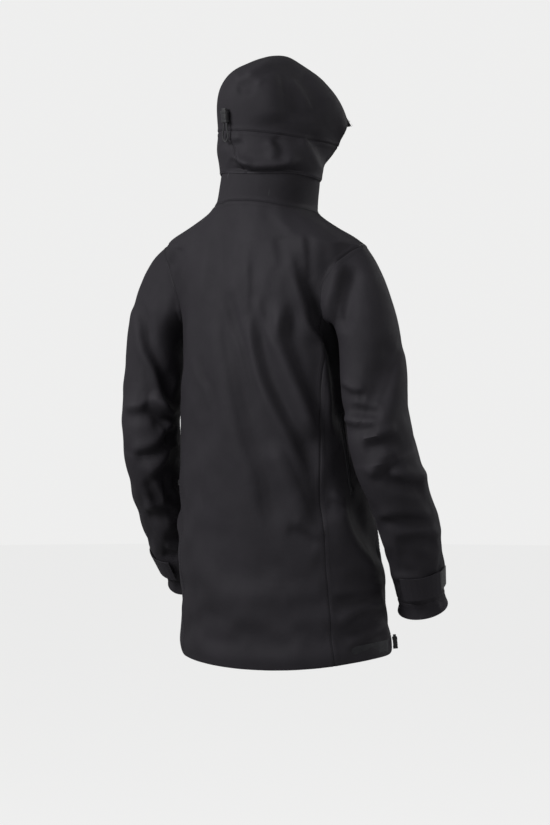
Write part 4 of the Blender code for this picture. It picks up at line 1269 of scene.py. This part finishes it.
def trim_piece(title, node, grid, material, bevel, body):
    """A hard piece from a working mesh: bevelled, finished and put on its body."""
    bmesh.ops.recalc_face_normals(grid, faces=grid.faces)
    mesh = mesh_from(grid, title)
    if bevel:
        mesh = modified(mesh, "BEVEL", {"width": bevel, "segments": 3, "limit_method": "ANGLE"})
    piece = place(title, mesh, (finish(material),), body)
    mesh.set_sharp_from_angle(angle=math.radians(40.0))
    if node:
        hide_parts(node)
    return piece


def body_holding(node):
    return frame["nodes"][node]["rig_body"]


def make_slider(node):
    """A slider: a tapered plate on a post between two side walls, with a low bridge that holds the pull.
    """
    matrix, (wide, tall, deep) = block_frame(node)
    grid = bmesh.new()
    plate = 0.62 * deep
    add_box(grid, matrix, (0, 0, deep - 0.75 * plate), (2 * wide, 2 * tall, plate), 0.72)
    add_box(grid, matrix, (0, 0.45 * tall, -0.25 * deep), (0.45 * wide, 0.8 * tall, 1.5 * deep))
    for side in (0.86 * wide, -0.86 * wide):
        add_box(grid, matrix, (side, 0.30 * tall, -0.2 * deep),
                (0.26 * wide, 1.2 * tall, 1.5 * deep))
    add_box(grid, matrix, (0, -0.15 * tall, 0.90 * deep), (0.50 * wide, 1.3 * tall, 0.2 * deep))
    trim_piece(node + "_detail", node, grid, "slider", 0.00030, body_holding(node))


def make_pull(node):
    """A pull: a narrow neck with an eye, and a longer grip with ridges."""
    matrix, (wide, tall, deep) = block_frame(node)
    grid = bmesh.new()
    add_ring(grid, matrix, (0, tall - 0.75 * wide, 0), 2, 0.75 * wide, 0.24 * wide)
    add_box(grid, matrix, (0, 0.40 * tall, 0), (0.55 * wide, 0.75 * tall, 1.1 * deep))
    add_box(grid, matrix, (0, -0.38 * tall, 0), (2.0 * wide, 1.2 * tall, 1.5 * deep), 0.86)
    for step in range(6):
        at = (0.10 - 0.17 * step) * tall
        add_box(grid, matrix, (0, at, 0), (1.7 * wide, 0.055 * tall, 1.95 * deep))
    trim_piece(node + "_detail", node, grid, "trim", 0.00025, body_holding(node))


def make_cord_lock(node):
    """A cord lock: a rounded barrel with a waist, a cord channel rim and a raised rib."""
    matrix, (wide, tall, deep) = block_frame(node)
    grid = bmesh.new()
    add_box(grid, matrix, (0, 0, 0), (1.82 * wide, 2.0 * tall, 1.7 * deep), 0.9)
    add_box(grid, matrix, (0, 0.74 * tall, 0), (2.0 * wide, 0.42 * tall, 2.0 * deep))
    add_box(grid, matrix, (0, -0.80 * tall, 0), (1.96 * wide, 0.32 * tall, 1.9 * deep))
    for step in range(3):
        add_box(grid, matrix, (0, (0.25 - 0.27 * step) * tall, 0.86 * deep),
                (1.3 * wide, 0.09 * tall, 0.26 * deep))
    add_ring(grid, matrix, (0, -0.15 * tall, 0.80 * deep), 2, 0.80 * wide, 0.10 * wide)
    trim_piece(node + "_detail", node, grid, "trim", 0.0007, body_holding(node))


def make_lock_button(node):
    """A plunger with a ridged thumb face."""
    matrix, (wide, tall, deep) = block_frame(node)
    grid = bmesh.new()
    add_box(grid, matrix, (0, 0, 0), (2.0 * wide, 2.0 * tall, 2.0 * deep))
    for step in range(3):
        add_box(grid, matrix, (0, (0.75 - 0.35 * step) * tall, 0),
                (2.04 * wide, 0.10 * tall, 2.04 * deep))
    trim_piece(node + "_detail", node, grid, "button", 0.0004, body_holding(node))


TOOTH_PITCH = 0.0026
COIL_PITCH = 0.0016


def make_tooth_row(node, side):
    """One row of moulded teeth, each with a head that reaches past the zip line."""
    matrix, (wide, tall, deep) = block_frame(node)
    grid = bmesh.new()
    count = int(2.0 * tall / TOOTH_PITCH) - 1
    shift = 0.25 * side * TOOTH_PITCH
    across = 1.0 if (matrix.to_3x3() @ Vector((1, 0, 0))).x * side < 0.0 else -1.0
    for number in range(count):
        at = (number - 0.5 * (count - 1)) * TOOTH_PITCH + shift
        add_box(grid, matrix, (0, at, 0), (1.7 * wide, 0.46 * TOOTH_PITCH, 1.9 * deep))
        add_box(grid, matrix, (across * 0.75 * wide, at, 0),
                (0.5 * wide, 0.66 * TOOTH_PITCH, 1.5 * deep))
    add_box(grid, matrix, (-across * 0.55 * wide, 0, 0), (0.6 * wide, 2.0 * tall, 1.1 * deep))
    trim_piece(node + "_detail", node, grid, "teeth", 0.0, "shell")


def make_small_chain(node):
    """A narrow closed coil zip between two strips of tape."""
    matrix, (wide, tall, deep) = block_frame(node)
    grid = bmesh.new()
    for sign in (1.0, -1.0):
        add_box(grid, matrix, (sign * 0.62 * wide, 0, -0.45 * deep),
                (0.72 * wide, 2.0 * tall, 0.9 * deep))
    count = int(2.0 * tall / COIL_PITCH) - 1
    for number in range(count):
        at = (number - 0.5 * (count - 1)) * COIL_PITCH
        lean = 0.12 * wide * (1 if number % 2 else -1)
        add_box(grid, matrix, (lean, at, 0.1 * deep), (0.62 * wide, 0.6 * COIL_PITCH, 1.5 * deep))
    trim_piece(node + "_detail", node, grid, "teeth", 0.0, "shell")


def make_zips():
    for side, sign in (("left", 1.0), ("right", -1.0)):
        make_tooth_row("zip_teeth_" + side, sign)
        for opening in ("pocket_", "vent_"):
            make_small_chain(opening + side + "_zip")
            make_slider(opening + side + "_slider")
        make_pull("pocket_" + side + "_pull")
    make_slider("main_slider")
    make_pull("main_pull")


# The hood's cord: its route from the lock and back, in the lock's own frame (across, along, out)
CORD_ROUTE = (
    (0.0035, 0.0000, 0.0000), (0.0037, -0.0060, 0.0002), (0.0046, -0.0120, 0.0008),
    (0.0062, -0.0180, 0.0018), (0.0068, -0.0240, 0.0026), (0.0050, -0.0295, 0.0030),
    (0.0012, -0.0322, 0.0031), (-0.0032, -0.0300, 0.0030), (-0.0058, -0.0250, 0.0026),
    (-0.0062, -0.0190, 0.0018), (-0.0050, -0.0130, 0.0008), (-0.0038, -0.0065, 0.0002),
    (-0.0035, 0.0000, 0.0000),
)
CORD_DIAMETER = 0.0026
CORD_STEPS = 6
CORD_START = 0.0103            # from the lock's middle down to where the cord leaves it


def make_cords():
    """The cord locks, their buttons and the hood's cord loop."""
    for node in ("hood_cord_lock", "hem_cord_lock_left", "hem_cord_lock_right"):
        make_cord_lock(node)
    for node in ("hood_lock_button", "hem_lock_button_left", "hem_lock_button_right"):
        make_lock_button(node)
    matrix = block_frame("hood_cord_lock")[0]
    start = Vector((0.0, -CORD_START, 0.0))
    path = [matrix @ (spot + start) for spot in smooth_path(CORD_ROUTE, CORD_STEPS)]
    data = bpy.data.curves.new("hood_cord", "CURVE")
    data.dimensions = "3D"
    data.bevel_depth = 0.5 * CORD_DIAMETER
    data.bevel_resolution = 5
    data.use_fill_caps = True
    line = data.splines.new("POLY")
    line.points.add(len(path) - 1)
    for point, spot in zip(line.points, path):
        point.co = (*spot, 1.0)
    cord = linked("hood_cord", data)
    data.materials.append(finish("cord"))
    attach(cord, "hood")
    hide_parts("hood_cord_loop")


# ---------------------------------------------------------------- flat trim kept from the frame

CARRIED = {
    "zip_tape_left": "tape", "zip_tape_right": "tape", "zip_box": "trim", "hang_loop": "tape",
    "size_label": "label", "cuff_patch_left": "knit", "cuff_patch_right": "knit",
    "cuff_tab_left": "plain shell", "cuff_tab_right": "plain shell",
}


def make_carried_over():
    for name, kind in CARRIED.items():
        node = frame["nodes"][name]
        node.data.materials.clear()
        node.data.materials.append(finish(kind))
        if kind != "trim":
            weave_map(node.data, name)


# ---------------------------------------------------------------- stage

CAMERA_DISTANCE = 5.2
CAMERA_LENS = 132.7
CAMERA_AIM = (0.0581, -0.3634)     # across and up from the nape to the middle of the view
FLOOR_HEIGHT = -1.45
FLOOR_RADIUS = 9.0
LIGHTS_AIM = Vector((0.0, -0.1, -0.35))
BACKGROUND = (0.858, 0.858, 0.855)
AMBIENT = 0.27
FLOOR_GLOW = 0.93


def glowing_world():
    """Pale surroundings: bright to the eye and in reflections, softer as a light."""
    world = bpy.data.worlds.new("Pale studio")
    bpy.context.scene.world = world
    world.use_nodes = True
    tree = world.node_tree
    background = tree.nodes["Background"]
    background.inputs["Color"].default_value = (*BACKGROUND, 1.0)
    path = tree.nodes.new("ShaderNodeLightPath")
    strength = tree.nodes.new("ShaderNodeMix")
    strength.data_type = "FLOAT"
    strength.inputs[2].default_value = AMBIENT
    strength.inputs[3].default_value = 1.0
    tree.links.new(path.outputs["Is Camera Ray"], strength.inputs[0])
    tree.links.new(strength.outputs[0], background.inputs["Strength"])


def area_light(title, direction, distance, size, watts):
    """A square soft light that looks at the jacket's middle from a direction."""
    data = bpy.data.lights.new(title, "AREA")
    data.size = size
    data.energy = watts
    lamp = linked(title, data)
    towards = ACROSS * direction[0] + UPWARDS * direction[1] + TOWARDS * direction[2]
    towards.normalize()
    lamp.location = LIGHTS_AIM + towards * distance
    lamp.rotation_euler = (-towards).to_track_quat("-Z", "Y").to_euler()


def make_camera():
    data = bpy.data.cameras.new("Camera")
    data.lens = CAMERA_LENS
    data.sensor_width = 36.0
    data.clip_end = 50.0
    camera = linked("Camera", data)
    aim = ACROSS * CAMERA_AIM[0] + UPWARDS * CAMERA_AIM[1]
    camera.location = aim + TOWARDS * CAMERA_DISTANCE
    camera.rotation_euler = (-TOWARDS).to_track_quat("-Z", "Y").to_euler()
    bpy.context.scene.camera = camera


def make_floor():
    """A wide pale round floor, well below the hem."""
    grid = bmesh.new()
    bmesh.ops.create_circle(grid, cap_ends=True, segments=96, radius=FLOOR_RADIUS)
    mesh = mesh_from(grid, "Floor")
    floor = linked("Floor", mesh)
    floor.location.z = FLOOR_HEIGHT
    material, tree, shader, add = nodes_of("Pale floor")
    where = add("ShaderNodeTexCoord").outputs["Object"]
    cloud = clouds(add, where, 1.5, 2.0)
    tree.links.new(tinted(add, (0.12, 0.12, 0.12), cloud, 1.05, 0.95), shader.inputs["Base Color"])
    shader.inputs["Roughness"].default_value = 1.0
    shader.inputs["Specular IOR Level"].default_value = 0.0
    shader.inputs["Emission Color"].default_value = (*BACKGROUND, 1.0)
    shader.inputs["Emission Strength"].default_value = FLOOR_GLOW
    mesh.materials.append(material)
    floor.visible_diffuse = False
    floor.visible_glossy = False


# (name, direction across, up and towards the viewer, distance, size, watts)
LIGHTS = (
    ("Key", (-0.95, 0.60, 0.62), 3.2, 1.4, 86.0),
    ("Fill", (0.95, 0.20, 0.70), 3.4, 2.4, 19.0),
    ("Rim", (0.85, 0.45, -0.55), 3.0, 1.6, 18.0),
)


def make_stage():
    scene = bpy.context.scene
    scene.view_settings.view_transform = "Standard"
    glowing_world()
    make_floor()
    make_camera()
    for title, direction, distance, size, watts in LIGHTS:
        area_light(title, direction, distance, size, watts)


# ---------------------------------------------------------------- operators and panel

class JACKET_OT_stage(bpy.types.Operator):
    """Makes the camera, floor, surroundings and lights."""

    bl_idname = "jacket.stage"
    bl_label = "Stage"

    def execute(self, context):
        make_stage()
        return {"FINISHED"}


class JACKET_OT_trunk(bpy.types.Operator):
    """Makes the sewn cloth of the trunk and sleeves."""

    bl_idname = "jacket.trunk"
    bl_label = "Trunk and sleeves"

    def execute(self, context):
        make_trunk_and_sleeves()
        return {"FINISHED"}


class JACKET_OT_hood(bpy.types.Operator):
    """Makes the hood's cloth."""

    bl_idname = "jacket.hood"
    bl_label = "Hood"

    def execute(self, context):
        make_hood()
        return {"FINISHED"}


class JACKET_OT_facings(bpy.types.Operator):
    """Makes the facings, linings and pocket bags."""

    bl_idname = "jacket.facings"
    bl_label = "Facings"

    def execute(self, context):
        make_facings()
        return {"FINISHED"}


class JACKET_OT_zips(bpy.types.Operator):
    """Makes the teeth, sliders and pulls."""

    bl_idname = "jacket.zips"
    bl_label = "Zips"

    def execute(self, context):
        make_zips()
        return {"FINISHED"}


class JACKET_OT_cords(bpy.types.Operator):
    """Makes the cord locks, their buttons and the hood's cord."""

    bl_idname = "jacket.cords"
    bl_label = "Cords"

    def execute(self, context):
        make_cords()
        return {"FINISHED"}


class JACKET_OT_flat_trim(bpy.types.Operator):
    """Finishes the tapes, tabs, patches, loop and label."""

    bl_idname = "jacket.flat_trim"
    bl_label = "Flat trim"

    def execute(self, context):
        make_carried_over()
        return {"FINISHED"}


OPERATORS = (JACKET_OT_stage, JACKET_OT_trunk, JACKET_OT_hood, JACKET_OT_facings, JACKET_OT_zips,
             JACKET_OT_cords, JACKET_OT_flat_trim)


class JACKET_PT_looks(bpy.types.Panel):
    """Lists the steps that make the jacket's looks."""

    bl_label = "Hardshell jacket"
    bl_idname = "JACKET_PT_looks"
    bl_space_type = "VIEW_3D"
    bl_region_type = "UI"
    bl_category = "Jacket"

    def draw(self, context):
        chosen = context.scene.jacket_settings
        for name in JacketSettings.__annotations__:
            self.layout.prop(chosen, name)
        for operator in OPERATORS:
            self.layout.operator(operator.bl_idname)


def register():
    for kind in (JacketSettings, *OPERATORS, JACKET_PT_looks):
        bpy.utils.register_class(kind)
    bpy.types.Scene.jacket_settings = bpy.props.PointerProperty(type=JacketSettings)


def unregister():
    del bpy.types.Scene.jacket_settings
    for kind in (JACKET_PT_looks, *reversed(OPERATORS), JacketSettings):
        bpy.utils.unregister_class(kind)


def main():
    register()
    for operator in OPERATORS:
        result = getattr(bpy.ops.jacket, operator.bl_idname.split(".")[1])()
        if result != {"FINISHED"}:
            raise RuntimeError(operator.bl_label + " did not finish")


if __name__ == "__main__":
    main()
